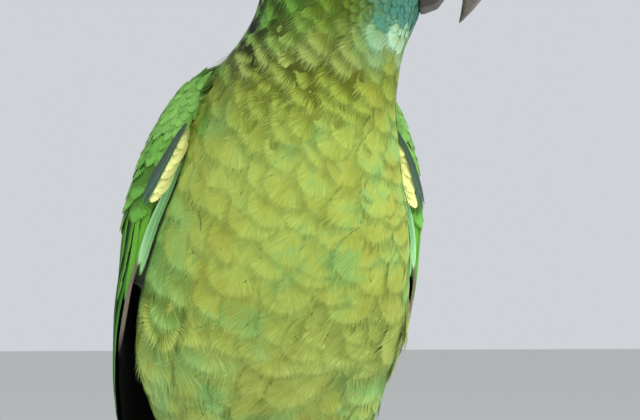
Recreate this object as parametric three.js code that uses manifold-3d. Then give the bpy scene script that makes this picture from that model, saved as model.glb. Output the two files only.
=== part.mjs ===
// An amazon parrot perched upright on a short cut branch, on a plain display stand.
// Millimetres, +Z up. The bird faces -Y, its right side is -X and its head is turned to its left.
// The origin is the middle of the stand's underside.
import * as THREE from 'three';
import { mergeVertices } from 'three/addons/utils/BufferGeometryUtils.js';
import Module from 'manifold-3d';

const wasm = await Module();
wasm.setup();

// ---------------------------------------------------------------- driving dimensions
const GAP = 0.3;                    // clearance where two pieces meet

const BASE_RADIUS = 85;
const BASE_HEIGHT = 12;
const BASE_EDGE = 3;                // rounding of the base's upper rim
const ROD_RADIUS = 4;
const ROD_SPACING = 112;            // between the two rods' axes
const COLLAR_RADIUS = 8;
const COLLAR_HEIGHT = 5;

const PERCH_RADIUS = 13;
const PERCH_LENGTH = 152;
const PERCH_Y = -16;
const PERCH_TOP = 200;
const PERCH_Z = PERCH_TOP - PERCH_RADIUS;

const BODY_Y = -18;                 // shifts the bird so that it sits over the base
const HEAD_TURN = 62;               // degrees the head is turned to the bird's left
const CROWN_Z = 394;
const BROW_Z = 367;                 // the head's dome starts here
const NECK_BOTTOM = 312;            // cut between trunk and neck
const NECK_TOP = 342;               // cut between neck and head
const TRUNK_BOTTOM = 203;           // cut between trunk and the tail coverts
const COVERTS_BOTTOM = 145;         // end of the undertail coverts

const EYE_RADIUS = 5.8;
const EYE_FORWARD = 11.5;
const EYE_SIDE = 15.7;
const EYE_Z = 371.5;

const WING_TOP = 331;               // top of the folded wing's shoulder
const WING_COVERTS_END = 262;       // lower edge of the coverts
const SECONDARIES_END = 206;
const WING_TIP = 156;

const TAIL_ROOT = 184;
const TAIL_TIP = 112;

const FOOT_X = 19;                  // each foot from the middle of the bird
const TOE_RADIUS = 3.3;
const CLAW_RADIUS = 1.9;

const BODY_SIDES = 22;              // facets round the body and neck
const HEAD_SIDES = 24;
const PERCH_SIDES = 20;
const TOE_SIDES = 7;

// ---------------------------------------------------------------- materials
const finish = (color, roughness, metalness = 0) => (
  new THREE.MeshStandardMaterial({ color, roughness, metalness })
);
const green = finish('#8fae4a', 0.8);
const wingGreen = finish('#5f9a3c', 0.7);
const darkGreen = finish('#2f5a34', 0.65);
const flightBlack = finish('#15181c', 0.55);
const tailGreen = finish('#7fa03c', 0.7);
const crownGreen = finish('#7d9c3a', 0.8);
const horn = finish('#b9a27c', 0.4);
const greySkin = finish('#8a8780', 0.6);
const clawDark = finish('#2c2a28', 0.4);
const irisOrange = finish('#c8641e', 0.1);
const bark = finish('#6d5236', 0.9);
const walnut = finish('#4b3222', 0.5);
const steel = finish('#a9adb1', 0.3, 1);

// ---------------------------------------------------------------- number helpers
const radians = THREE.MathUtils.degToRad;
const lerp = THREE.MathUtils.lerp;
const clamp = THREE.MathUtils.clamp;

// Value of one column of a table of stations at height z, on a smooth curve that never overshoots.
function atHeight(stations, column, z) {
  const last = stations.length - 1;
  const slope = (i) => {
    const run = stations[i + 1].z - stations[i].z;
    return (stations[i + 1][column] - stations[i][column]) / run;
  };
  const tangent = (i) => {
    if (i === 0) return slope(0);
    if (i === last) return slope(last - 1);
    const before = slope(i - 1);
    const after = slope(i);
    return before * after <= 0 ? 0 : (2 * before * after) / (before + after);
  };
  let i = 0;
  while (i < last - 1 && z > stations[i + 1].z) i += 1;
  const run = stations[i + 1].z - stations[i].z;
  const t = clamp((z - stations[i].z) / run, 0, 1);
  const a = stations[i][column];
  const b = stations[i + 1][column];
  const t2 = t * t;
  const t3 = t2 * t;
  return a * (2 * t3 - 3 * t2 + 1) + b * (3 * t2 - 2 * t3)
    + run * (tangent(i) * (t3 - 2 * t2 + t) + tangent(i + 1) * (t3 - t2));
}

// Point at fraction t of a flat curve through a few points.
function onCurve(points, t) {
  const curve = new THREE.SplineCurve(points.map(([x, y]) => new THREE.Vector2(x, y)));
  return curve.getPoint(t);
}

// ---------------------------------------------------------------- mesh helpers
function toGeometry(positions, indices) {
  const geometry = new THREE.BufferGeometry();
  geometry.setAttribute('position', new THREE.Float32BufferAttribute(positions, 3));
  geometry.setIndex(indices);
  return geometry;
}

function signedVolume(geometry) {
  const p = geometry.attributes.position;
  const index = geometry.index.array;
  const [a, b, c] = [new THREE.Vector3(), new THREE.Vector3(), new THREE.Vector3()];
  let sum = 0;
  for (let i = 0; i < index.length; i += 3) {
    a.fromBufferAttribute(p, index[i]);
    b.fromBufferAttribute(p, index[i + 1]);
    c.fromBufferAttribute(p, index[i + 2]);
    sum += a.dot(b.cross(c)) / 6;
  }
  return sum;
}

// Turns a closed geometry so that its faces point outwards.
function facingOut(geometry) {
  if (signedVolume(geometry) < 0) {
    const index = geometry.index.array;
    for (let i = 0; i < index.length; i += 3) {
      [index[i + 1], index[i + 2]] = [index[i + 2], index[i + 1]];
    }
  }
  return geometry;
}

// Closed body through rings of equally many points, with a flat fan over each end.
function loft(rings) {
  const sides = rings[0].length;
  const positions = rings.flat().flatMap((p) => [p.x, p.y, p.z]);
  const indices = [];
  const at = (r, s) => r * sides + (s % sides);
  for (let r = 0; r < rings.length - 1; r += 1) {
    for (let s = 0; s < sides; s += 1) {
      indices.push(at(r, s), at(r, s + 1), at(r + 1, s + 1));
      indices.push(at(r, s), at(r + 1, s + 1), at(r + 1, s));
    }
  }
  for (const end of [0, rings.length - 1]) {
    const middle = new THREE.Vector3();
    rings[end].forEach((p) => middle.addScaledVector(p, 1 / sides));
    const hub = positions.length / 3;
    positions.push(middle.x, middle.y, middle.z);
    for (let s = 0; s < sides; s += 1) {
      const [a, b] = end === 0 ? [s + 1, s] : [s, s + 1];
      indices.push(hub, at(end, a), at(end, b));
    }
  }
  return facingOut(toGeometry(positions, indices));
}

// Closed slab between an outer and an inner grid of rows x columns points.
function slab(outer, inner) {
  const rows = outer.length;
  const columns = outer[0].length;
  const positions = [...outer.flat(), ...inner.flat()].flatMap((p) => [p.x, p.y, p.z]);
  const indices = [];
  const at = (side, r, c) => side * rows * columns + r * columns + c;
  const quad = (a, b, c, d) => indices.push(a, b, c, a, c, d);
  for (let r = 0; r < rows - 1; r += 1) {
    for (let c = 0; c < columns - 1; c += 1) {
      quad(at(0, r, c), at(0, r, c + 1), at(0, r + 1, c + 1), at(0, r + 1, c));
      quad(at(1, r, c), at(1, r + 1, c), at(1, r + 1, c + 1), at(1, r, c + 1));
    }
  }
  for (let c = 0; c < columns - 1; c += 1) {
    quad(at(0, 0, c), at(1, 0, c), at(1, 0, c + 1), at(0, 0, c + 1));
    const end = rows - 1;
    quad(at(0, end, c + 1), at(1, end, c + 1), at(1, end, c), at(0, end, c));
  }
  for (let r = 0; r < rows - 1; r += 1) {
    quad(at(0, r + 1, 0), at(1, r + 1, 0), at(1, r, 0), at(0, r, 0));
    const end = columns - 1;
    quad(at(0, r, end), at(1, r, end), at(1, r + 1, end), at(0, r + 1, end));
  }
  return facingOut(toGeometry(positions, indices));
}

// Round body along a path, with a radius for each of its points.
function sweep(path, radii, sides) {
  const rings = path.map((centre, i) => {
    const before = path[Math.max(i - 1, 0)];
    const after = path[Math.min(i + 1, path.length - 1)];
    const along = after.clone().sub(before).normalize();
    const across = new THREE.Vector3(1, 0, 0);
    across.addScaledVector(along, -across.dot(along)).normalize();
    const over = along.clone().cross(across);
    return Array.from({ length: sides }, (_, s) => {
      const angle = (2 * Math.PI * s) / sides;
      return centre.clone()
        .addScaledVector(across, radii[i] * Math.cos(angle))
        .addScaledVector(over, radii[i] * Math.sin(angle));
    });
  });
  return loft(rings);
}

function toSolid(geometry) {
  const bare = geometry.clone();
  bare.deleteAttribute('normal');
  bare.deleteAttribute('uv');
  const merged = mergeVertices(bare, 1e-4);
  return new wasm.Manifold(new wasm.Mesh({
    numProp: 3,
    vertProperties: new Float32Array(merged.attributes.position.array),
    triVerts: new Uint32Array(merged.index.array),
  }));
}

function toBufferGeometry(solid) {
  const mesh = solid.getMesh();
  return toGeometry(Array.from(mesh.vertProperties), Array.from(mesh.triVerts));
}

function cut(geometry, ...tools) {
  let solid = toSolid(geometry);
  tools.forEach((tool) => { solid = solid.subtract(toSolid(tool)); });
  return toBufferGeometry(solid);
}

function join(...geometries) {
  return toBufferGeometry(geometries.map(toSolid).reduce((whole, next) => whole.add(next)));
}

function mirrored(geometry) {
  const copy = geometry.clone();
  copy.scale(-1, 1, 1);
  return facingOut(copy);
}

// ---------------------------------------------------------------- body, neck and head
// Level rings up the bird: x, y of the ring's middle, the way it faces (turn, degrees), and its
// reach forward, backward and sideways from there.
const BODY = [
  { z: 145, x: 0, y: 71.5, turn: 0, front: 2.5, back: 2.5, side: 9 },
  { z: 160, x: 0, y: 66.5, turn: 0, front: 9, back: 7.5, side: 15 },
  { z: 180, x: 0, y: 54, turn: 0, front: 15, back: 15, side: 19 },
  { z: 200, x: 0, y: 43, turn: 0, front: 23, back: 21, side: 24 },
  { z: 220, x: 0, y: 28, turn: 0, front: 31, back: 29, side: 32 },
  { z: 238, x: 0, y: 13, turn: 0, front: 36, back: 36, side: 41.5 },
  { z: 256, x: 0, y: 2, turn: 0, front: 38.5, back: 39, side: 43.5 },
  { z: 276, x: 0, y: -8, turn: 0, front: 37.5, back: 39, side: 41 },
  { z: 296, x: 0, y: -17, turn: 0, front: 34.5, back: 36, side: 35 },
  { z: 313, x: 0, y: -24, turn: 4, front: 31, back: 32, side: 30.5 },
  { z: 329, x: 2.5, y: -30, turn: 24, front: 27.5, back: 28, side: 26.5 },
  { z: 342, x: 8, y: -36, turn: 56, front: 25.5, back: 25, side: 23 },
  { z: 352, x: 10.5, y: -38, turn: 62, front: 26, back: 25, side: 23 },
  { z: 361, x: 11, y: -38, turn: 62, front: 28, back: 24.5, side: 22.8 },
  { z: 367, x: 11, y: -38, turn: 62, front: 28, back: 24, side: 22.2 },
];

const ROUNDNESS = 2.15;             // 2 makes the body's level rings ellipses, more squares them
const DOME_RISE = 2.5;              // how late the crown closes
const DOME_ROUND = 2.2;             // how round it closes

// Reach of a ring in the level direction `angle`.
function ringReach(ring, angle) {
  const own = angle - radians(ring.turn);
  const forward = -Math.sin(own);
  const reach = forward > 0 ? ring.front : ring.back;
  const along = Math.abs(forward / reach) ** ROUNDNESS;
  const aside = Math.abs(Math.cos(own) / ring.side) ** ROUNDNESS;
  return (along + aside) ** (-1 / ROUNDNESS);
}

function ringAt(z) {
  const low = Math.min(z, BROW_Z);
  const ring = { z };
  for (const column of ['x', 'y', 'turn', 'front', 'back', 'side']) {
    ring[column] = atHeight(BODY, column, low);
  }
  const rise = clamp((z - BROW_Z) / (CROWN_Z - BROW_Z), 0, 1);
  const dome = (1 - rise ** DOME_RISE) ** (1 / DOME_ROUND);
  ring.front *= dome;
  ring.back *= dome;
  ring.side *= dome;
  return ring;
}

function ringPoints(z, sides, swell) {
  const ring = ringAt(z);
  return Array.from({ length: sides }, (_, s) => {
    const angle = (2 * Math.PI * s) / sides;
    const reach = ringReach(ring, angle) + swell;
    return new THREE.Vector3(
      ring.x + reach * Math.cos(angle),
      ring.y + BODY_Y + reach * Math.sin(angle),
      z,
    );
  });
}

function bodyLength(from, to, steps, sides, swell = 0) {
  return loft(Array.from({ length: steps + 1 }, (_, i) => (
    ringPoints(lerp(from, to, i / steps), sides, swell)
  )));
}

const CHEEK_RINGS = 5;              // from the neck's cut to the brow
const DOME_RINGS = 7;               // from the brow to the crown
const DOME_END = 84;                // degrees up the dome where its flat top is

function headShape(swell = 0) {
  const low = Array.from({ length: CHEEK_RINGS }, (_, i) => (
    lerp(NECK_TOP + GAP / 2, BROW_Z, i / CHEEK_RINGS)
  ));
  const high = Array.from({ length: DOME_RINGS }, (_, i) => (
    BROW_Z + (CROWN_Z - BROW_Z) * Math.sin(radians(lerp(0, DOME_END, i / (DOME_RINGS - 1))))
  ));
  return loft([...low, ...high].map((z) => ringPoints(z, HEAD_SIDES, swell)));
}

// Place of a point of the head's own upright middle plane, moved `side` to the bird's left.
const HEAD_X = 11;
const HEAD_Y = -38 + BODY_Y;
function inHead(forward, side, z) {
  const turn = radians(HEAD_TURN);
  return new THREE.Vector3(
    HEAD_X + forward * Math.sin(turn) + side * Math.cos(turn),
    HEAD_Y - forward * Math.cos(turn) + side * Math.sin(turn),
    z,
  );
}

// Loft between two profiles of the middle plane, [forward, z] each, as wide as `widths` says.
function profileLoft(upper, lower, widths, steps, sides) {
  return loft(Array.from({ length: steps + 1 }, (_, i) => {
    const t = i / steps;
    const top = onCurve(upper, t);
    const bottom = onCurve(lower, t);
    const width = onCurve(widths, t).y;
    return Array.from({ length: sides }, (_, s) => {
      const angle = (2 * Math.PI * s) / sides;
      const mix = 0.5 + 0.5 * Math.cos(angle);
      return inHead(
        lerp(bottom.x, top.x, mix),
        width * Math.sin(angle),
        lerp(bottom.y, top.y, mix),
      );
    });
  }));
}

const CULMEN = [[22, 376], [31, 375.4], [40, 370], [44.8, 361], [43.2, 350], [35.2, 341]];
const TOMIUM = [[16, 356], [23, 357.5], [30, 358], [34.3, 355], [35.6, 348.5], [34.4, 340.6]];
const UPPER_WIDTH = [[0, 8.6], [1, 8.6], [2, 7.8], [3, 6.4], [4, 4.2], [5, 0.9]];
const LOWER_TOP = [[12, 355.5], [20, 356.8], [28, 357.2], [32.9, 356]];
const LOWER_BOTTOM = [[12, 344], [20, 343.4], [28, 345], [33.6, 353.6]];
const LOWER_WIDTH = [[0, 8.2], [1, 8], [2, 6.6], [3, 3.6]];
const CERE_TOP = [[20, 380], [26.5, 379.4], [31.5, 376.6]];
const CERE_BOTTOM = [[20, 369], [26.5, 368], [31.5, 370]];
const CERE_WIDTH = [[0, 10], [1, 9.4], [2, 5.4]];

const upperBillShape = profileLoft(CULMEN, TOMIUM, UPPER_WIDTH, 11, 12);
const lowerBillShape = profileLoft(LOWER_TOP, LOWER_BOTTOM, LOWER_WIDTH, 6, 10);
const cereShape = profileLoft(CERE_TOP, CERE_BOTTOM, CERE_WIDTH, 4, 10);

function eyeBall(side, radius) {
  const ball = new THREE.SphereGeometry(radius, 12, 7);
  const place = inHead(EYE_FORWARD, side * EYE_SIDE, EYE_Z);
  ball.rotateX(Math.PI / 2);
  ball.translate(place.x, place.y, place.z);
  return ball;
}

// ---------------------------------------------------------------- folded wings
// Level sections of the right wing: the middle and half axes of the ellipse that its outside
// follows, where its front and back edges lie on it (degrees from straight out), and its depth.
const WING = [
  { z: 156, y: 56, out: 18, deep: 26, front: 58, rear: 84, thick: 1.6 },
  { z: 176, y: 46, out: 29, deep: 30.5, front: 42, rear: 86, thick: 2.2 },
  { z: 200, y: 34, out: 40, deep: 34, front: 20, rear: 87, thick: 2.8 },
  { z: 222, y: 22, out: 46, deep: 38, front: 6, rear: 86, thick: 3.4 },
  { z: 244, y: 10, out: 49.5, deep: 41.5, front: 2, rear: 82, thick: 6 },
  { z: 262, y: 1, out: 50.5, deep: 44, front: -2, rear: 78, thick: 9 },
  { z: 282, y: -6, out: 50, deep: 43.5, front: -6, rear: 74, thick: 12 },
  { z: 302, y: -12, out: 45.5, deep: 40, front: -8, rear: 69, thick: 13 },
  { z: 317, y: -17, out: 38.5, deep: 34, front: -6, rear: 62, thick: 12 },
  { z: 327, y: -21, out: 32, deep: 29, front: 2, rear: 54, thick: 8 },
  { z: 331, y: -23, out: 27.5, deep: 25.5, front: 12, rear: 44, thick: 4 },
];

// Point of the right wing at height z, across = 0 at its front edge and 1 at its back edge.
function wingPoint(z, across, inward) {
  const at = (column) => atHeight(WING, column, z);
  const angle = radians(lerp(at('front'), at('rear'), across));
  const edge = 1 - 0.55 * (Math.abs(2 * across - 1) ** 6);
  const depth = inward ? at('thick') * edge : (1 - edge) * at('thick') * 0.6;
  return new THREE.Vector3(
    -(at('out') - depth) * Math.cos(angle),
    BODY_Y + at('y') + (at('deep') - depth) * Math.sin(angle),
    z,
  );
}

// Piece of the right wing between two heights and two edges that run with the height.
function wingPiece(high, low, rows, columns, fromEdge, toEdge) {
  const grid = (inward) => Array.from({ length: rows + 1 }, (_, r) => {
    const z = lerp(high, low, r / rows);
    return Array.from({ length: columns + 1 }, (_, c) => (
      wingPoint(z, lerp(fromEdge(z), toEdge(z), c / columns), inward)
    ));
  });
  return slab(grid(false), grid(true));
}

// The primaries show below and in front of the secondaries, parted along this line.
function secondariesEdge(z) {
  const fall = clamp((WING_COVERTS_END - z) / (WING_COVERTS_END - SECONDARIES_END), 0, 1);
  return lerp(0.3, 0.86, fall);
}
const EDGE_GAP = 0.012;             // the parting gap, as a share of the wing's breadth

const coverts = wingPiece(WING_TOP, WING_COVERTS_END + GAP / 2, 10, 8, () => 0, () => 1);
const secondaries = wingPiece(
  WING_COVERTS_END - GAP / 2,
  SECONDARIES_END,
  7,
  5,
  (z) => secondariesEdge(z) + EDGE_GAP / 2,
  () => 1,
);
const primariesHigh = wingPiece(
  WING_COVERTS_END - GAP / 2,
  SECONDARIES_END,
  7,
  6,
  () => 0,
  (z) => secondariesEdge(z) - EDGE_GAP / 2,
);
const primariesLow = wingPiece(
  SECONDARIES_END + 1,
  WING_TIP,
  7,
  6,
  () => 0,
  (z) => lerp(1, secondariesEdge(z) - EDGE_GAP / 2, clamp((z - SECONDARIES_END + GAP) * 9, 0, 1)),
);

// ---------------------------------------------------------------- tail
// A closed tail of stacked feathers: a shallow roof, wider towards its rounded end.
const TAIL_HALF = [19, 26];         // half-width at the root and near the end
const TAIL_ROOF = [9, 5];           // how far the sides fall below the middle
const TAIL_DEPTH = [4.5, 1.6];
const TAIL_Y = [69, 91];            // its ridge, from the bird's own axis
const TAIL_ROUNDING = 7;            // how much shorter the outer feathers are

function tailPoint(down, across, under) {
  const z = lerp(TAIL_ROOT, TAIL_TIP, down) + TAIL_ROUNDING * across * across * down ** 3;
  const half = lerp(...TAIL_HALF, down) * (1 - 0.1 * down ** 8);
  const roof = lerp(...TAIL_ROOF, down) * across * across;
  const depth = under ? lerp(...TAIL_DEPTH, down) * (1 - 0.4 * across ** 4) : 0;
  return new THREE.Vector3(half * across, BODY_Y + lerp(...TAIL_Y, down) - roof - depth, z);
}

function tailShape() {
  const grid = (under) => Array.from({ length: 9 }, (_, r) => (
    Array.from({ length: 9 }, (_, c) => tailPoint(r / 8, c / 4 - 1, under))
  ));
  return slab(grid(false), grid(true));
}

// ---------------------------------------------------------------- legs and feet
const THIGH_TOP = new THREE.Vector3(21.5, 7 + BODY_Y, 244);
const THIGH_END = new THREE.Vector3(FOOT_X + 0.5, PERCH_Y, 209.5);
const THIGH_RADIUS = [16.5, 7];     // at the top and at the foot

function thighShape(side, swell = 0) {
  const path = [];
  const radii = [];
  const steps = 8;
  for (let i = 0; i <= steps; i += 1) {
    const t = i / steps;
    const place = THIGH_TOP.clone().lerp(THIGH_END, t);
    path.push(place.setX(side * place.x));
    radii.push(lerp(...THIGH_RADIUS, t ** 2.2) * (t === 0 ? 0.5 : 1) + swell);
  }
  if (swell) path[steps].z -= swell;
  return sweep(path, radii, 14);
}

const TARSUS_FOOT = PERCH_TOP + TOE_RADIUS + 1.6;
function tarsusShape(side) {
  const path = [215, 211, 208, TARSUS_FOOT, TARSUS_FOOT - 2.6].map((z) => (
    new THREE.Vector3(side * FOOT_X, PERCH_Y, z)
  ));
  return sweep(path, [3.8, 3.9, 4.4, 5.8, 4.6], 10);
}

// Toes grip the perch: two forward and two back. bend is the arc round the perch, in degrees.
const TOES = [
  { name: 'inner_front', forward: 1, offset: -3.7, spread: -4, bend: 74, claw: 36 },
  { name: 'outer_front', forward: 1, offset: 3.7, spread: 5, bend: 96, claw: 38 },
  { name: 'inner_back', forward: -1, offset: -3.7, spread: -4, bend: 58, claw: 32 },
  { name: 'outer_back', forward: -1, offset: 3.7, spread: 6, bend: 86, claw: 36 },
];
const TOE_START = 13;               // degrees from the top of the perch
const CLAW_GAP = 1.6;               // degrees between a toe's end and its claw

function gripPoint(toe, side, degrees, lift) {
  const angle = radians(degrees);
  const reach = PERCH_RADIUS + GAP + lift;
  const along = (degrees - TOE_START) / toe.bend;
  return new THREE.Vector3(
    side * (FOOT_X + toe.offset + toe.spread * along),
    PERCH_Y - toe.forward * reach * Math.sin(angle),
    PERCH_Z + reach * Math.cos(angle),
  );
}

function toeShape(toe, side, swell = 0) {
  const steps = 6;
  const path = [];
  const radii = [];
  for (let i = 0; i <= steps; i += 1) {
    const t = i / steps;
    const knuckle = 0.22 * Math.cos(6 * Math.PI * t);
    const radius = lerp(TOE_RADIUS, 2.7, t) + knuckle;
    const end = i === 0 || i === steps ? 0.62 : 1;
    path.push(gripPoint(toe, side, TOE_START + toe.bend * t, TOE_RADIUS + 0.2));
    radii.push(radius * end + swell);
  }
  return sweep(path, radii, TOE_SIDES);
}

function clawShape(toe, side) {
  const steps = 4;
  const path = [];
  const radii = [];
  for (let i = 0; i <= steps; i += 1) {
    const t = i / steps;
    const degrees = TOE_START + toe.bend + CLAW_GAP + toe.claw * t;
    path.push(gripPoint(toe, side, degrees, lerp(TOE_RADIUS + 0.6, 1.1, t * t)));
    radii.push(lerp(CLAW_RADIUS, 0.45, t ** 1.4));
  }
  return sweep(path, radii, TOE_SIDES);
}

// ---------------------------------------------------------------- perch and stand
function perchShape() {
  const steps = 6;
  return loft(Array.from({ length: steps + 1 }, (_, i) => {
    const x = lerp(-PERCH_LENGTH / 2, PERCH_LENGTH / 2, i / steps);
    const end = i === 0 || i === steps ? 0.94 : 1;
    return Array.from({ length: PERCH_SIDES }, (_, s) => {
      const angle = (2 * Math.PI * s) / PERCH_SIDES;
      return new THREE.Vector3(
        x,
        PERCH_Y + PERCH_RADIUS * end * Math.cos(angle),
        PERCH_Z + PERCH_RADIUS * end * Math.sin(angle),
      );
    });
  }));
}

function standBase() {
  const corner = Array.from({ length: 3 }, (_, i) => {
    const angle = radians(45 * i);
    return new THREE.Vector2(
      BASE_RADIUS - BASE_EDGE + BASE_EDGE * Math.cos(angle),
      BASE_HEIGHT - BASE_EDGE + BASE_EDGE * Math.sin(angle),
    );
  });
  const profile = [
    new THREE.Vector2(0, 0),
    new THREE.Vector2(BASE_RADIUS - 1, 0),
    new THREE.Vector2(BASE_RADIUS, 1),
    ...corner,
    new THREE.Vector2(0, BASE_HEIGHT),
  ];
  const base = new THREE.LatheGeometry(profile, 40);
  base.rotateX(Math.PI / 2);
  return facingOut(mergedLathe(base));
}

function mergedLathe(geometry) {
  geometry.deleteAttribute('normal');
  geometry.deleteAttribute('uv');
  return mergeVertices(geometry, 1e-4);
}

function standRod(side) {
  const foot = BASE_HEIGHT + GAP;
  const top = PERCH_Z - Math.sqrt(PERCH_RADIUS ** 2 - ROD_RADIUS ** 2);
  const profile = [
    new THREE.Vector2(0, foot),
    new THREE.Vector2(COLLAR_RADIUS, foot),
    new THREE.Vector2(COLLAR_RADIUS, foot + COLLAR_HEIGHT - 1),
    new THREE.Vector2(COLLAR_RADIUS - 1, foot + COLLAR_HEIGHT),
    new THREE.Vector2(ROD_RADIUS, foot + COLLAR_HEIGHT),
    new THREE.Vector2(ROD_RADIUS, top + ROD_RADIUS),
    new THREE.Vector2(0, top + ROD_RADIUS),
  ];
  const rod = new THREE.LatheGeometry(profile, 12);
  rod.rotateX(Math.PI / 2);
  const shape = facingOut(mergedLathe(rod));
  shape.translate((side * ROD_SPACING) / 2, PERCH_Y, 0);
  return shape;
}

// ---------------------------------------------------------------- parting the pieces
const whole = bodyLength(COVERTS_BOTTOM, NECK_TOP, 24, BODY_SIDES, GAP);
const swollenHead = headShape(GAP);
const swollenEyes = [-1, 1].map((side) => eyeBall(side, EYE_RADIUS + GAP));
const perch = perchShape();
const swollenPerch = new THREE.CylinderGeometry(
  PERCH_RADIUS + GAP,
  PERCH_RADIUS + GAP,
  PERCH_LENGTH + 10,
  PERCH_SIDES,
);
swollenPerch.rotateZ(Math.PI / 2);
swollenPerch.translate(0, PERCH_Y, PERCH_Z);

const parrot = new THREE.Group();
parrot.name = 'amazon_parrot';

function addPiece(name, geometry, material) {
  const mesh = new THREE.Mesh(geometry, material);
  mesh.name = name;
  parrot.add(mesh);
}

function addTorso() {
  const trunk = bodyLength(TRUNK_BOTTOM + GAP / 2, NECK_BOTTOM - GAP / 2, 14, BODY_SIDES);
  addPiece('trunk', trunk, green);
  const neck = bodyLength(NECK_BOTTOM + GAP / 2, NECK_TOP - GAP / 2, 6, BODY_SIDES);
  addPiece('neck', neck, crownGreen);
}

function addHead() {
  addPiece('head', cut(headShape(), ...swollenEyes), crownGreen);
  const cere = cut(cereShape, swollenHead);
  const cereTool = profileLoft(
    CERE_TOP.map(([x, z]) => [x + GAP, z + GAP]),
    CERE_BOTTOM.map(([x, z]) => [x + GAP, z - GAP]),
    CERE_WIDTH.map(([x, w]) => [x, w + GAP]),
    4,
    10,
  );
  const upperTool = profileLoft(
    CULMEN.map(([x, z]) => [x, z + GAP]),
    TOMIUM.map(([x, z]) => [x, z - GAP]),
    UPPER_WIDTH.map(([x, w]) => [x, w + GAP]),
    11,
    12,
  );
  addPiece('cere', cere, greySkin);
  addPiece('upper_bill', cut(upperBillShape, swollenHead, cereTool), horn);
  addPiece('lower_bill', cut(lowerBillShape, swollenHead, upperTool), horn);
  addPiece('eye_right', eyeBall(-1, EYE_RADIUS), irisOrange);
  addPiece('eye_left', eyeBall(1, EYE_RADIUS), irisOrange);
}

function addWings() {
  const parts = [
    ['coverts', coverts, wingGreen],
    ['secondaries', secondaries, darkGreen],
    ['primaries', join(primariesHigh, primariesLow), flightBlack],
  ];
  for (const [part, geometry, material] of parts) {
    addPiece(`wing_right_${part}`, cut(geometry, whole), material);
    addPiece(`wing_left_${part}`, cut(mirrored(geometry), whole), material);
  }
}

function addTail() {
  addPiece('tail_feathers', cut(tailShape(), whole), tailGreen);
  const rump = bodyLength(COVERTS_BOTTOM, TRUNK_BOTTOM - GAP / 2, 7, BODY_SIDES);
  addPiece('tail_coverts', rump, green);
}

function addLeg(name, side) {
  const swollenToes = TOES.map((toe) => toeShape(toe, side, GAP));
  const swollenThigh = thighShape(side, GAP);
  addPiece(`thigh_${name}`, cut(thighShape(side), whole), green);
  addPiece(
    `tarsus_${name}`,
    cut(tarsusShape(side), whole, swollenThigh, swollenPerch, ...swollenToes),
    greySkin,
  );
  for (const toe of TOES) {
    addPiece(`toe_${toe.name}_${name}`, toeShape(toe, side), greySkin);
    addPiece(`claw_${toe.name}_${name}`, clawShape(toe, side), clawDark);
  }
}

function addStand() {
  addPiece('perch', perch, bark);
  addPiece('stand_base', standBase(), walnut);
  addPiece('stand_rod_right', cut(standRod(-1), swollenPerch), steel);
  addPiece('stand_rod_left', cut(standRod(1), swollenPerch), steel);
}

addTorso();
addHead();
addWings();
addTail();
addLeg('right', -1);
addLeg('left', 1);
addStand();

export default parrot;
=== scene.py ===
"""An amazon parrot perched on a short cut branch, as a still life-size model on a display stand."""

import logging
import math
from dataclasses import dataclass, field
from enum import Enum
from itertools import product
from typing import Callable, Sequence

import bpy
import numpy as np
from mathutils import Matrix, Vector, noise
from mathutils.bvhtree import BVHTree
from numpy.linalg import norm


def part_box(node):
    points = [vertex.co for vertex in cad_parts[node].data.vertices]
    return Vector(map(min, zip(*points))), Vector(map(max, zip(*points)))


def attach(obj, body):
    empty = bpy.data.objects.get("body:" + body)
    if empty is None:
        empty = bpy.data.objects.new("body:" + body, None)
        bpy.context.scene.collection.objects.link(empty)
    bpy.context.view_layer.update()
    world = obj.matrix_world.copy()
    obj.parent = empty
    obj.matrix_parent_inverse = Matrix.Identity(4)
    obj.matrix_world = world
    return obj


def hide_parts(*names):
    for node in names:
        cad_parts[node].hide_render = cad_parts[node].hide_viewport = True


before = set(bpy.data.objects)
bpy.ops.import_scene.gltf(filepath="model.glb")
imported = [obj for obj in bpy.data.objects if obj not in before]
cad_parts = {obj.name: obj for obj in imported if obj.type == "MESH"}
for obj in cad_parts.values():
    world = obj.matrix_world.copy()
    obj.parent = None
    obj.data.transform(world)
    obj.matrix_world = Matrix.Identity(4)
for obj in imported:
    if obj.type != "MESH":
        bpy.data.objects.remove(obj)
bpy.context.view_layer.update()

LOG = logging.getLogger("parrot")
MM = 0.001
SEED = 11
Array = np.ndarray
Piece = bpy.types.Object
Material = bpy.types.Material
Pair = tuple[float, float]
Point = tuple[float, float, float]
Colour = tuple[float, float, float]
Spots = tuple[Array, Array]
Stops = tuple[tuple[float, Colour], ...]


class Side(Enum):
    """The bird's own right and left, as the sign of their X."""

    RIGHT = -1
    LEFT = 1


def rgb(code: str) -> Colour:
    """Linear colour from a #rrggbb code."""
    values = [int(code[i : i + 2], 16) / 255 for i in (1, 3, 5)]
    return tuple(v / 12.92 if v <= 0.04045 else ((v + 0.055) / 1.055) ** 2.4 for v in values)


def smooth(values: Array, low: float, high: float) -> Array:
    """Soft step of the values from 0 at `low` to 1 at `high`, whichever is larger."""
    t = np.clip((np.asarray(values, float) - low) / (high - low), 0, 1)
    return t * t * (3 - 2 * t)


def band(values: Array, start: float, full: float, fade: float, end: float) -> Array:
    """Soft band of the values: 0 at `start`, 1 from `full` to `fade` and 0 again at `end`."""
    return smooth(values, start, full) * smooth(values, end, fade)


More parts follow.
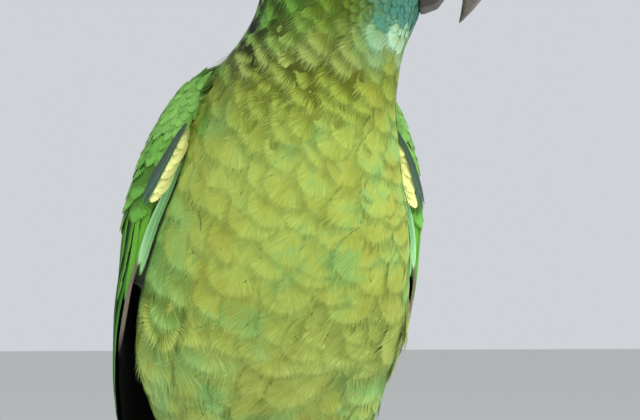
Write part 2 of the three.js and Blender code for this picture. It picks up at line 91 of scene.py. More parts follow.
# ---- the frame's own places
@dataclass
class HeadFrame:
    """Axes of the turned head, found from the two eyes.

    Forward runs along the bill, side to the bird's left, and both are level.
    """

    eye_forward: float = 11.5 * MM
    origin: Array = field(init=False)
    forward: Array = field(init=False)
    side: Array = field(init=False)
    eye_height: float = field(init=False)

    def __post_init__(self) -> None:
        """Find the axes from the eyes' boxes."""
        centres = {}
        for name in ("eye_left", "eye_right"):
            low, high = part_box(name)
            centres[name] = (np.array(low) + np.array(high)) / 2
        across = centres["eye_left"] - centres["eye_right"]
        across[2] = 0
        self.side = across / norm(across)
        self.forward = np.array([self.side[1], -self.side[0], 0.0])
        middle = (centres["eye_left"] + centres["eye_right"]) / 2
        self.eye_height = float(middle[2])
        self.origin = middle - self.forward * self.eye_forward
        self.origin[2] = 0

    def place(self, forward: float, side: float, height: float) -> Array:
        """Point in the row frame for a place in the head's own axes."""
        return self.origin + self.forward * forward + self.side * side + np.array([0, 0, height])

    def local(self, points: Array) -> tuple[Array, Array, Array]:
        """Forward, side and height of points in the row frame."""
        offset = points - self.origin
        return offset @ self.forward, offset @ self.side, points[:, 2]


HEAD = HeadFrame()


@dataclass(frozen=True)
class BodyAxis:
    """Line through the trunk that the rows of feathers are square to, bent towards the head."""

    low: Point = (0.0, 0.045, 0.160)
    high: Point = (0.0, -0.054, 0.342)
    rise: Point = (0.3, 0.0, 0.95)

    @property
    def direction(self) -> Array:
        """Unit vector from the tail to the neck."""
        return np.subtract(self.high, self.low) / self.length

    @property
    def length(self) -> float:
        """Length of the line."""
        return float(norm(np.subtract(self.high, self.low)))

    def at(self, distance: float) -> Array:
        """Point at a distance from the low end."""
        past = max(distance - self.length, 0)
        return np.array(self.low) + self.direction * (distance - past) + np.array(self.rise) * past

    def slope(self, distance: Array) -> Array:
        """How far the rows fall towards the bird's left, over the breast and neck."""
        share = distance / self.length
        return 0.4 * smooth(share, 0.6, 0.8) + 0.5 * smooth(share, 0.84, 0.98)

    @property
    def backward(self) -> Array:
        """Unit vector square to the axis, towards the bird's back."""
        across = np.array([1.0, 0.0, 0.0])
        return np.cross(self.direction, across)


AXIS = BodyAxis()


def middle_of(points: Array) -> Array:
    """Y of the body's middle at the height of each point."""
    return np.interp(points[:, 2], [0.156, 0.262, 0.345], [0.045, -0.016, -0.052])


# ---- plumage colours
@dataclass(frozen=True)
class Plumage:
    """Colours of the parrot's feathers."""

    belly: Colour = rgb("#b0c258")
    chest: Colour = rgb("#98a83e")
    neck: Colour = rgb("#5c7c1e")
    nape: Colour = rgb("#6a9c38")
    back: Colour = rgb("#4b8a2e")
    rump: Colour = rgb("#74ac38")
    thigh: Colour = rgb("#a8cb74")
    vent: Colour = rgb("#c2d370")
    side: Colour = rgb("#84bb64")
    throat: Colour = rgb("#4f9488")
    # Pale mint of the throat's side, partly its pale colour and partly a painted rim highlight.
    mint_highlight: Colour = rgb("#c2f2cc")
    fawn: Colour = rgb("#a9b868")
    yellow: Colour = rgb("#e3c928")
    blue: Colour = rgb("#5474b8")
    cheek: Colour = rgb("#74a32f")
    wing: Colour = rgb("#5fa536")


@dataclass
class Markings:
    """The pattern of colours over the skin, read by the skin and the feathers alike."""

    colours: Plumage = field(default_factory=Plumage)

    @staticmethod
    def painted(paint: Array, *layers: tuple[Colour | Array, Array]) -> Array:
        """Paint with colours laid over it in turn, each where its mask is 1."""
        for colour, mask in layers:
            paint = paint + (np.array(colour) - paint) * mask[:, None]
        return paint

    @staticmethod
    def facing(points: Array) -> Array:
        """1 on the line down the middle of the breast, 0 at the sides and -1 down the back."""
        ahead = middle_of(points) - points[:, 1]
        return ahead / (np.hypot(points[:, 0], ahead) + 1e-9)

    def flank(self, points: Array) -> Array:
        """How far points lie within the loose feathers of the flanks, 0 to 1."""
        height = band(points[:, 2], 0.232, 0.244, 0.258, 0.274)
        return height * band(self.facing(points), -0.15, 0.1, 0.5, 0.72)

    def at(self, points: Array, scatter: Array | None = None) -> Array:
        """Colour of the plumage at points of the skin.

        The heights and the distances forward and aside in it are in millimetres.

        Args:
            points: places in the row frame, metres.
            scatter: how far each point's reading of the pattern strays, metres.

        Returns:
            A linear colour for each point, and one value for its feathers' dusky rims and the painted shade
            on their bases.
        """
        c = self.colours
        number = len(points)
        stray = np.zeros(number) if scatter is None else scatter
        forward, side, height = HEAD.local(points)
        forward, side, height = (forward + stray) / MM, np.abs(side) / MM, (height + stray) / MM
        right = -points[:, 0] / MM
        wide = np.abs(right)
        facing = self.facing(points)
        front = smooth(facing + stray * 20, -0.35, 0.25)
        belly = np.tile(c.belly, (number, 1))
        under = self.painted(belly, (c.chest, smooth(height, 298, 326)), (c.vent, smooth(height, 268, 215)))
        throat = smooth(forward, 6, 20) * band(height, 332, 341, 351, 358)
        head = smooth(height, 346, 354)
        crown = smooth(height, 381, 385) * smooth(forward, -8, -2)
        beside = band(height, 246, 258, 284, 298) * smooth(facing, 0.75, 0.4) * front
        paint = self.painted(
            np.tile(c.back, (number, 1)),
            (c.rump, smooth(height, 235, 190)),
            (under, front),
            (c.neck, smooth(height, 318, 338) * 0.85),
            (c.nape, smooth(height, 322, 345) * smooth(forward, 4, -14)),
            (c.throat, throat),
            (c.fawn, band(forward, -34, -24, 8, 15) * band(height, 322, 328, 333, 340) * 0.65),
            # Pale mint on the throat's side: partly its pale colour, partly a painted rim highlight.
            (c.mint_highlight, smooth(forward, 9, 17) * band(height, 327, 335, 335, 341)),
            (c.cheek, head * smooth(forward, -12, 2) * (1 - throat)),
            (c.nape, head * smooth(forward, 2, -12)),
            (c.yellow, smooth(forward, -1, 5) * band(height, 347, 352, 363, 368) * smooth(side, 5, 9)),
            (c.yellow, crown),
            (c.blue, band(height, 375, 378, 382.5, 386) * smooth(forward, -2, 5)),
            (c.blue, smooth(forward, 17, 20) * band(height, 363, 368, 384, 388)),
            (c.wing, smooth(wide, 29, 33) * band(height, 306, 314, 336, 340)),
            (c.thigh, smooth(height, 242, 232) * smooth(wide, 12, 22) * smooth(facing, -0.2, 0.2)),
            (c.side, beside * 0.8),
        )
        # Painted shade: the alpha darkens feather bases in the gaps between rows. It is strongest on the
        # neck's sides, the upper breast, the bird's right side and the ruffled flanks, and weaker on the lit
        # left side. On the nape it also gives the real dusky rims.
        turned = smooth(right, 4, 24) * smooth(height, 314, 328)
        aside = np.maximum(smooth(facing, 0.6, 0.15), turned)
        dusk_and_shade = 0.66 * smooth(height, 298, 318) - 0.16 * smooth(height, 324, 332)
        dusk_and_shade = dusk_and_shade * (1 - 0.65 * smooth(right, 0, -20))
        dusk_and_shade = dusk_and_shade + (0.96 - dusk_and_shade) * aside * smooth(height, 312, 328) * (1 - 0.6 * crown)
        dusk_and_shade = dusk_and_shade * (1 - 0.5 * throat) * (1 - 0.7 * head * smooth(forward, -10, 4))
        dusk_and_shade = dusk_and_shade * (1 - 0.4 * smooth(wide, 20, 26))
        dusk_and_shade = dusk_and_shade + (0.42 * self.flank(points) + 0.16 * smooth(height, 262, 244)) * (1 - dusk_and_shade)
        return np.concatenate([paint, dusk_and_shade[:, None]], axis=1)


# ---- shader nodes
def operator(operation: str, swapped: bool = False) -> Callable[["Wire", "Wire | float"], "Wire"]:
    """Method of Wire that puts one Math node between the wire and another wire or number."""

    def method(self: "Wire", other: "Wire | float") -> "Wire":
        """Wire out of it."""
        return self.math(operation, *((other, self) if swapped else (self, other)))

    return method


class Wire:
    """A node's output socket that writes its own Math nodes when used in an expression."""

    def __init__(self, tree: bpy.types.NodeTree, socket: bpy.types.NodeSocket) -> None:
        """Hold the socket and the tree it belongs to."""
        self.tree = tree
        self.socket = socket

    def math(self, operation: str, first: "Wire | float", second: "Wire | float" = 0.0) -> "Wire":
        """Wire out of one new Math node."""
        node = self.tree.nodes.new("ShaderNodeMath")
        node.operation = operation
        for slot, value in zip(node.inputs, (first, second)):
            if isinstance(value, Wire):
                self.tree.links.new(value.socket, slot)
            else:
                slot.default_value = value
        return Wire(self.tree, node.outputs[0])

    __add__ = __radd__ = operator("ADD")
    __mul__ = __rmul__ = operator("MULTIPLY")
    __sub__, __rsub__ = operator("SUBTRACT"), operator("SUBTRACT", swapped=True)
    __pow__ = operator("POWER")

    def __abs__(self) -> "Wire":
        """Size without sign."""
        return self.math("ABSOLUTE", self)

    def sine(self) -> "Wire":
        """Sine of the value in radians."""
        return self.math("SINE", self)


class Painter:
    """One material and the nodes that paint it."""

    MIX_SOCKETS = (0, 6, 7)
    MIX_RESULT = 2

    def __init__(self, name: str) -> None:
        """Start an empty node tree with a principled surface."""
        self.material = bpy.data.materials.new(name)
        self.material.use_nodes = True
        self.tree = self.material.node_tree
        self.surface = self.tree.nodes["Principled BSDF"]

    def node(self, kind: str, settings: dict | None = None, **values: object) -> bpy.types.Node:
        """New node of any kind.

        Args:
            kind: the node's type.
            settings: properties set before the sockets.
            values: socket names, with _ for a space, and their value or Wire.

        Returns:
            The node.
        """
        node = self.tree.nodes.new(kind)
        for key, value in (settings or {}).items():
            setattr(node, key, value)
        for key, value in values.items():
            self.plug(node.inputs[key.replace("_", " ")], value)
        return node

    def plug(self, slot: bpy.types.NodeSocket, value: object) -> None:
        """Link a Wire to a socket, or set the socket to a value."""
        if isinstance(value, Wire):
            self.tree.links.new(value.socket, slot)
        elif isinstance(value, tuple) and len(value) == 3 and slot.type == "RGBA":
            slot.default_value = (*value, 1)
        else:
            slot.default_value = value

    def wire(self, node: bpy.types.Node, output: str | int = 0) -> Wire:
        """Wire from a node's output."""
        return Wire(self.tree, node.outputs[output])

    def attribute(self, name: str, output: str = "Fac") -> Wire:
        """Wire from a mesh attribute."""
        return self.wire(self.node("ShaderNodeAttribute", {"attribute_name": name}), output)

    def place(self) -> Wire:
        """The piece's own object coordinates."""
        return self.wire(self.node("ShaderNodeTexCoord"), "Object")

    def parts(self, vector: Wire) -> tuple[Wire, Wire, Wire]:
        """X, Y and Z of a vector."""
        node = self.node("ShaderNodeSeparateXYZ", None, Vector=vector)
        return tuple(Wire(self.tree, socket) for socket in node.outputs)

    def vane(self) -> tuple[Wire, Wire]:
        """Across and barb coordinates of a feather's vane map."""
        node = self.node("ShaderNodeUVMap", {"uv_map": "vane"})
        x, y, _ = self.parts(self.wire(node))
        return x, y

    def noise(
        self, scale: float, detail: float = 2, vector: Wire | None = None, roughness: float = 0.5
    ) -> Wire:
        """Noise value, on object coordinates unless a vector is given."""
        place = vector or self.place()
        values = {"Vector": place, "Scale": scale, "Detail": detail, "Roughness": roughness}
        return self.wire(self.node("ShaderNodeTexNoise", None, **values))

    def stretched(self, scale: Point) -> Wire:
        """Object coordinates scaled by a Mapping node."""
        return self.wire(self.node("ShaderNodeMapping", None, Vector=self.place(), Scale=scale))

    def mix(self, factor: "Wire | float", first: object, second: object, blend: str = "MIX") -> Wire:
        """Colour between two colours."""
        node = self.node("ShaderNodeMix", {"data_type": "RGBA", "blend_type": blend})
        for socket, value in zip(self.MIX_SOCKETS, (factor, first, second)):
            self.plug(node.inputs[socket], value)
        return self.wire(node, self.MIX_RESULT)

    def step(self, value: Wire, low: float, high: float) -> Wire:
        """Soft step of a value from 0 at low to 1 at high."""
        node = self.node(
            "ShaderNodeMapRange",
            {"interpolation_type": "SMOOTHSTEP"},
            Value=value,
            From_Min=min(low, high),
            From_Max=max(low, high),
            To_Min=0.0 if low < high else 1.0,
            To_Max=1.0 if low < high else 0.0,
        )
        return self.wire(node)

    def bump(self, height: Wire, strength: float, distance: float) -> Wire:
        """Normal bent by a height."""
        return self.wire(
            self.node("ShaderNodeBump", None, Height=height, Strength=strength, Distance=distance)
        )

    def finish(self, colour: Wire, roughness: Wire | float, **values: object) -> Material:
        """Plug the surface and return the material.

        Args:
            colour: base colour.
            roughness: a Wire or a number.
            values: other sockets, with _ for a space, and their number, or the Wire of a normal.

        Returns:
            The material.
        """
        for key, value in {"Base_Color": colour, "Roughness": roughness, **values}.items():
            self.plug(self.surface.inputs[key.replace("_", " ")], value)
        return self.material


@dataclass(frozen=True)
class FeatherFinish:
    """How one kind of feather is coloured along its vane and lit.

    The plumage attribute's alpha says how dusky the rim of each feather is and how much painted shade darkens
    its base.

    Attributes:
        rim: how much darker every rim is.
        edge: how far out from the shaft a dusky rim starts, 0 to 1.
        base: painted shade, how much darker every base is where the feathers above overlap it.
        shade: more painted shade, how much darker still the base of a feather with a high alpha is.
        mottle: how far the colour strays from feather to feather.
        barb: strength of the barb lines.
        barbs: about how many there are from root to tip.
        shaft: how much paler the shaft is.
        stray: how far the colour strays over the coat.
        fringe: how pale the loose ends of the barbs are, partly a painted highlight, and how much painted
            shade shows between them.
    """

    name: str
    rim: float = 0.0
    edge: float = 0.7
    base: float = 0.04
    shade: float = 0.72
    mottle: float = 0.1
    barb: float = 0.8
    barbs: float = 52.0
    shaft: float = 0.06
    stray: float = 1.0
    roughness: float = 0.62
    sheen: float = 0.02
    gloss: float = 0.15
    fringe: float = 1.0
    warm: Colour = rgb("#a1a236")
    cool: Colour = rgb("#74bb70")
    # Colour of the pale barb ends, which also stands for a painted highlight.
    pale: Colour = rgb("#ccd196")
    dusk: Colour = rgb("#1a2410")

    def build(self) -> Material:
        """Material for vanes that carry the plumage, tint and along attributes."""
        p = Painter(self.name)
        plumage = p.node("ShaderNodeAttribute", {"attribute_name": "plumage"})
        dusk_and_shade = p.wire(plumage, "Alpha")
        tint = p.attribute("tint")
        along = p.attribute("along")
        across, barb = p.vane()
        off_shaft = abs(across - 0.5) * 2
        lines = p.node("ShaderNodeCombineXYZ", None, X=barb * self.barbs, Y=across * 3, Z=tint * 40)
        streak = p.noise(1.0, 2, p.wire(lines), 0.6)
        fine = p.noise(2.7, 1, p.wire(lines))
        blotch = p.noise(75, 3, roughness=0.6)
        patch = p.noise(26, 2)
        strayed = blotch + (tint - 0.5) * self.mottle
        warm = p.step(strayed + (patch - 0.5) * 0.6, 0.5, 0.72)
        cool = p.step(strayed - (patch - 0.5) * 0.6, 0.47, 0.27)
        cool = cool * 0.8 + p.step(off_shaft, 0.4, 1.0) * 0.25
        plain = (1 - dusk_and_shade * 0.7) * self.stray
        colour = p.mix(warm * plain * 0.55, p.wire(plumage, "Color"), self.warm)
        colour = p.mix(cool * plain * 0.6, colour, self.cool)
        edge = p.step(off_shaft + p.noise(700, 2) * 0.2 - 0.1, self.edge, 0.98) * p.step(along, 0.35, 0.7)
        colour = p.mix(edge * p.step(dusk_and_shade, 0.75, 0.95) * 0.85, colour, self.dusk)
        deep = dusk_and_shade * dusk_and_shade
        # Painted shade: each feather's base darkens where the row above would shade it.
        grown = p.step((along + (streak - 0.5) * 0.3 - 0.66 - deep * 0.05) * (1 + deep * 1.5), -0.24, 0.2)
        light = 1 - (1 - grown) * (self.base + dusk_and_shade * self.shade * (0.75 + patch * 0.5) * (1 + deep * 0.3))
        light = abs(light) ** 1.5
        light = light * (1 + (streak + fine - 1) * (0.7 + dusk_and_shade) * self.barb + (tint - 0.5) * 0.08)
        # Painted shade in the gaps between the barbs near the rim, most on feathers with a high alpha.
        barb_gap_shade = p.step(off_shaft, 0.55, 1.0) * p.step(fine, 0.52, 0.4) * dusk_and_shade
        light = light * (1 - barb_gap_shade * 0.6 * self.fringe)
        light = light - p.step(off_shaft, 0.75, 1.0) * self.rim + p.step(off_shaft, 0.08, 0.0) * self.shaft
        # Painted shade: blue falls faster than red and green, so the painted shade is more saturated.
        shade = p.node("ShaderNodeCombineXYZ", None, X=light, Y=light, Z=abs(light) ** 1.6)
        colour = p.mix(1.0, colour, p.wire(shade), "MULTIPLY")
        # Pale barb ends, partly their real colour and partly a painted highlight.
        pale_ends_and_highlight = p.step(off_shaft, 0.95, 1.2) * 0.5
        pale_ends_and_highlight = pale_ends_and_highlight + p.step(off_shaft, 0.6, 1.0) * p.step(fine, 0.5, 0.62) * 0.3
        pale_ends_and_highlight = pale_ends_and_highlight * p.step(along, 0.6, 0.85) * grown * (0.32 + dusk_and_shade * 0.2) * self.fringe
        colour = p.mix(pale_ends_and_highlight, colour, self.pale)
        height = streak * 1.2 + fine * 0.6 + p.step(off_shaft, 0.1, 0.0) * 0.8
        return p.finish(
            colour,
            self.roughness + blotch * 0.12,
            Normal=p.bump(height, 0.35, 0.0002),
            Sheen_Weight=self.sheen,
            Sheen_Roughness=0.5,
            Specular_IOR_Level=self.gloss,
        )


@dataclass(frozen=True)
class SkinFinish:
    """Skin seen between the feathers: the plumage colours, darker and downy."""

    dark: Colour = rgb("#39432a")

    def build(self) -> Material:
        """Material for a surface that carries the plumage attribute."""
        p = Painter("skin")
        down = p.noise(420, 4, roughness=0.7)
        darker = p.step(down, 0.35, 0.7) * 0.35 + 0.45
        colour = p.mix(darker, p.attribute("plumage", "Color"), self.dark)
        return p.finish(colour, 0.85, Normal=p.bump(down, 0.6, 0.0008), Sheen_Weight=0.3)


# ---- mesh helpers
def link(piece: Piece) -> None:
    """Put a new object in the scene."""
    bpy.context.scene.collection.objects.link(piece)


def deselect() -> None:
    """Leave nothing selected."""
    bpy.ops.object.select_all(action="DESELECT")


def activate(piece: Piece) -> None:
    """Select one object alone and make it active."""
    deselect()
    piece.select_set(True)
    bpy.context.view_layer.objects.active = piece


def apply_modifier(piece: Piece, kind: str, **settings: object) -> None:
    """Add a modifier, set it and apply it."""
    activate(piece)
    bpy.ops.object.modifier_add(type=kind)
    modifier = piece.modifiers[-1]
    for key, value in settings.items():
        setattr(modifier, key, value)
    bpy.ops.object.modifier_apply(modifier=modifier.name)


def outward(piece: Piece) -> None:
    """Merge doubles and turn the faces of a closed piece outwards."""
    activate(piece)
    bpy.ops.object.mode_set(mode="EDIT")
    bpy.ops.mesh.select_all(action="SELECT")
    bpy.ops.mesh.remove_doubles(threshold=1e-6)
    bpy.ops.mesh.normals_make_consistent(inside=False)
    bpy.ops.object.mode_set(mode="OBJECT")


def dress(piece: Piece, material: Material, slot: str, *nodes: str) -> None:
    """Give a finished piece its material, hide the nodes it replaces, and report it."""
    piece.data.materials.clear()
    piece.data.materials.append(material)
    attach(piece, "root")
    if nodes:
        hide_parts(*nodes)
    LOG.info("%s: %d faces", piece.name, len(piece.data.polygons))


def remeshed(name: str, nodes: Sequence[str], voxel: float, swell: float, rounds: int) -> Piece:
    """Copies of solids made one closed smooth surface.

    Args:
        name: of the new piece.
        nodes: solids to copy.
        voxel: size of the new faces.
        swell: how far the solids grow, to close the gaps between them.
        rounds: rounds of smoothing.

    Returns:
        The new piece.
    """
    copies = []
    for node in nodes:
        copy = bpy.data.objects.new(node + "_copy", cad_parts[node].data.copy())
        link(copy)
        outward(copy)
        if swell:
            apply_modifier(copy, "DISPLACE", strength=swell, mid_level=0.0)
        copies.append(copy)
    deselect()
    for copy in copies:
        copy.select_set(True)
    whole = copies[0]
    bpy.context.view_layer.objects.active = whole
    bpy.ops.object.join()
    whole.name = name
    whole.data.name = name
    whole.data.remesh_voxel_size = voxel
    activate(whole)
    bpy.ops.object.voxel_remesh()
    apply_modifier(whole, "SMOOTH", factor=0.5, iterations=rounds)
    bpy.ops.object.shade_smooth()
    return whole


def vertices(piece: Piece, kind: str = "co") -> Array:
    """Places of a piece's vertices, or their normals."""
    values = np.zeros(len(piece.data.vertices) * 3)
    piece.data.vertices.foreach_get(kind, values)
    return values.reshape(-1, 3)


def displace(piece: Piece, amounts: Array) -> None:
    """Move each vertex along its normal."""
    points = vertices(piece) + vertices(piece, "normal") * amounts[:, None]
    piece.data.vertices.foreach_set("co", points.ravel())
    piece.data.update()


def mark(piece: Piece, name: str, values: Array) -> None:
    """Write one number or colour for each vertex as an attribute."""
    kind, key = ("FLOAT", "value") if values.ndim == 1 else ("FLOAT_COLOR", "color")
    layer = piece.data.attributes.new(name, kind, "POINT")
    layer.data.foreach_set(key, values.astype(np.float32).ravel())


def rough(points: Array, scale: float, octaves: int = 3) -> Array:
    """Fractal noise from -1 to 1 at points."""
    return np.array([noise.fractal(Vector(p) * scale, 1.0, 2.0, octaves) for p in points])


def apply_place() -> None:
    """Apply the active object's place, turn and size to its mesh."""
    bpy.ops.object.transform_apply(location=True, rotation=True, scale=True)


def surface_tree(*pieces: Piece) -> BVHTree:
    """Search tree over the faces of pieces."""
    points, faces = [], []
    for piece in pieces:
        start = len(points)
        points += [v.co.copy() for v in piece.data.vertices]
        faces += [tuple(start + i for i in p.vertices) for p in piece.data.polygons]
    return BVHTree.FromPolygons(points, faces)


def node_tree(*nodes: str) -> BVHTree:
    """Search tree over several of the frame's solids."""
    return surface_tree(*(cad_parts[name] for name in nodes))


def distances(tree: BVHTree, points: Array) -> Array:
    """How far points are from a surface."""
    return np.array([tree.find_nearest(p)[3] for p in points.tolist()])


# ---- skin
@dataclass
class Skin:
    """One closed skin over the flesh of the bird, inside the solids by the coat's depth.

    Attributes:
        body_nodes: the solids that feathers grow on, apart from the wings.
        wing_nodes: the solids of the folded wings' arms.
        voxel: size of the remesh.
        join_gap: how far the solids swell to close the gaps between them.
        depth: the coat's depth on the body.
        face_depth: the coat's depth on the head.
        neck: heights between which the one turns into the other.
        hollow_out: how far out the painted shade in the hollow under each wing starts and is full.
        hollow_top: heights where it ends and is full.
        hollow_shade_strength: how far that painted shade darkens the skin.
    """

    body_nodes: tuple[str, ...] = ("trunk", "neck", "head", "tail_coverts", "thigh_right", "thigh_left")
    wing_nodes: tuple[str, ...] = ("wing_right_coverts", "wing_left_coverts")
    voxel: float = 1.7 * MM
    join_gap: float = 0.5 * MM
    depth: float = 2.4 * MM
    face_depth: float = 1.3 * MM
    neck: Pair = (0.330, 0.350)
    hollow_out: Pair = (0.036, 0.040)
    hollow_top: Pair = (0.282, 0.270)
    hollow_shade_strength: float = 0.95
    form: Piece = field(init=False)
    tree: BVHTree = field(init=False)
    joined: BVHTree = field(init=False)

    def build(self, markings: Markings) -> None:
        """Make the feather form and the visible skin."""
        self.form = remeshed("feather_form", self.body_nodes, self.voxel, self.join_gap, 12)
        self.tree = surface_tree(self.form)
        skin = remeshed("skin", self.body_nodes + self.wing_nodes, self.voxel, self.join_gap, 8)
        self.joined = surface_tree(skin)
        on_head = smooth(vertices(skin)[:, 2], *self.neck)
        displace(skin, -(self.join_gap + self.depth + (self.face_depth - self.depth) * on_head))
        apply_modifier(skin, "SMOOTH", factor=0.5, iterations=4)
        points = vertices(skin)
        # Painted shade on the skin in the hollow under each wing.
        hollow_shade = smooth(np.abs(points[:, 0]), *self.hollow_out) * smooth(points[:, 2], *self.hollow_top)
        paint = markings.at(points)
        paint[:, :3] *= 1 - self.hollow_shade_strength * hollow_shade[:, None]
        mark(skin, "plumage", paint)
        activate(skin)
        bpy.ops.object.shade_smooth()
        dress(skin, SkinFinish().build(), "body_feathers", *self.body_nodes, *self.wing_nodes)

    def discard_form(self) -> None:
        """Remove the form once the feathers are laid."""
        bpy.data.objects.remove(self.form)

    def settle(self, points: Array, lift: Array, tree: BVHTree) -> Spots:
        """Points moved to a height over a form.

        Args:
            points: places near the form.
            lift: the height of each.
            tree: the form.

        Returns:
            The places, and the form's normals there.
        """
        out, normals = np.empty_like(points), np.empty_like(points)
        for i, (point, height) in enumerate(zip(points.tolist(), lift.tolist())):
            near, normal, _, _ = tree.find_nearest(point)
            out[i] = near + normal * (height - self.join_gap)
            normals[i] = normal
        return out, normals


# ---- feathers
@dataclass(frozen=True)
class Vane:
    """Shape of a flat unit feather made of barb bands on both sides of its shaft.

    Attributes:
        bands: barb bands on each side.
        widest: share of the length where the vane is widest.
        base: half-width at the root, as a share of the widest.
        blunt: above 2 squares off the tip, below 2 points it.
        fray: how unevenly the barbs end, as a share of their length.
        loose: single barbs on each side that stand past the rim.
        reach: how far those stand past the rim, as a share of their length.
        fan: share of the length where the last barb leaves the shaft.
    """

    bands: int
    widest: float = 0.62
    base: float = 0.35
    blunt: float = 2.0
    fray: float = 0.2
    loose: int = 0
    reach: float = 0.3
    fan: float = 0.94
    HALFWAY = 0.68
    SINGLE = 0.18

    def half_width(self, along: Array) -> Array:
        """Half-width of the outline, from 0 to 1, along the feather."""
        grow = self.base + (1 - self.base) * np.sin(np.pi / 2 * np.clip(along / self.widest, 0, 1))
        past = np.clip((along - self.widest) / (1 - self.widest), 0, 1)
        return grow * np.sqrt(1 - past**self.blunt)

    def rim(self, count: int) -> Array:
        """Points evenly spread round one side of the outline, from the root to the tip."""
        along = np.sort(1 - (1 - np.linspace(0.05, 1, 300)) ** 1.6 * 0.95)
        line = np.stack([self.half_width(along) * 0.45, along], axis=1)
        lengths = np.concatenate([[0], np.cumsum(np.hypot(*np.diff(line, axis=0).T))])
        spots = np.interp(np.linspace(0, lengths[-1], count), lengths, along)
        return np.stack([self.half_width(spots), spots], axis=1)

    def unit(self) -> tuple[Array, list[tuple[int, ...]]]:
        """Vertices and faces of the unit feather.

        Returns:
            A table with columns for across, along, barb place, distance off the shaft, and
            the barb's own vector where its end is free, and the faces.
        """
        n = self.bands
        edge, tips = self.rim(n + 1), self.rim(2 * n + 1)[1::2]
        bands, none = np.linspace(0, 1, n + 1), np.zeros(n + 1)
        root, place = bands * self.fan, (bands[:-1] + bands[1:]) / 2
        blocks = [np.column_stack([none, root, bands, none, none, none])]
        faces: list[tuple[int, ...]] = []
        for sign in (-1, 1):
            start = sum(len(block) for block in blocks)
            x = sign * edge[:, 0] * (1 - (1 - self.HALFWAY) ** 1.4)
            y = root + (edge[:, 1] - root) * self.HALFWAY**1.15
            inner = np.column_stack([x, y, bands, none + sign * self.HALFWAY, none, none])
            barb = np.column_stack([sign * tips[:, 0], tips[:, 1] - (root[:-1] + root[1:]) / 2])
            ends = np.column_stack([sign * tips[:, 0], tips[:, 1], place, none[:-1] + sign, barb])
            blocks += [inner, ends]
            for j in range(n):
                a, b = start + j, start + n + 1 + j
                faces += [strip[::sign] for strip in ((j, a, a + 1, j + 1), (a, b, a + 1))]
            for k, j in enumerate(np.linspace(0.4 * n, n - 1, self.loose).astype(int)):
                foot, half = (inner[j] + inner[j + 1]) / 2, (inner[j + 1] - inner[j]) * self.SINGLE
                end = ends[j].copy()
                end[:2] += barb[j] * self.reach * (0.4 + 0.6 * (k * 0.618 % 1))
                end[3] *= 1.4
                end[4:] *= 2
                first = start + 2 * n + 1 + 3 * k
                blocks.append(np.stack([foot - half, end, foot + half]))
                faces.append((first, first + 1, first + 2)[::sign])
        return np.concatenate(blocks), faces


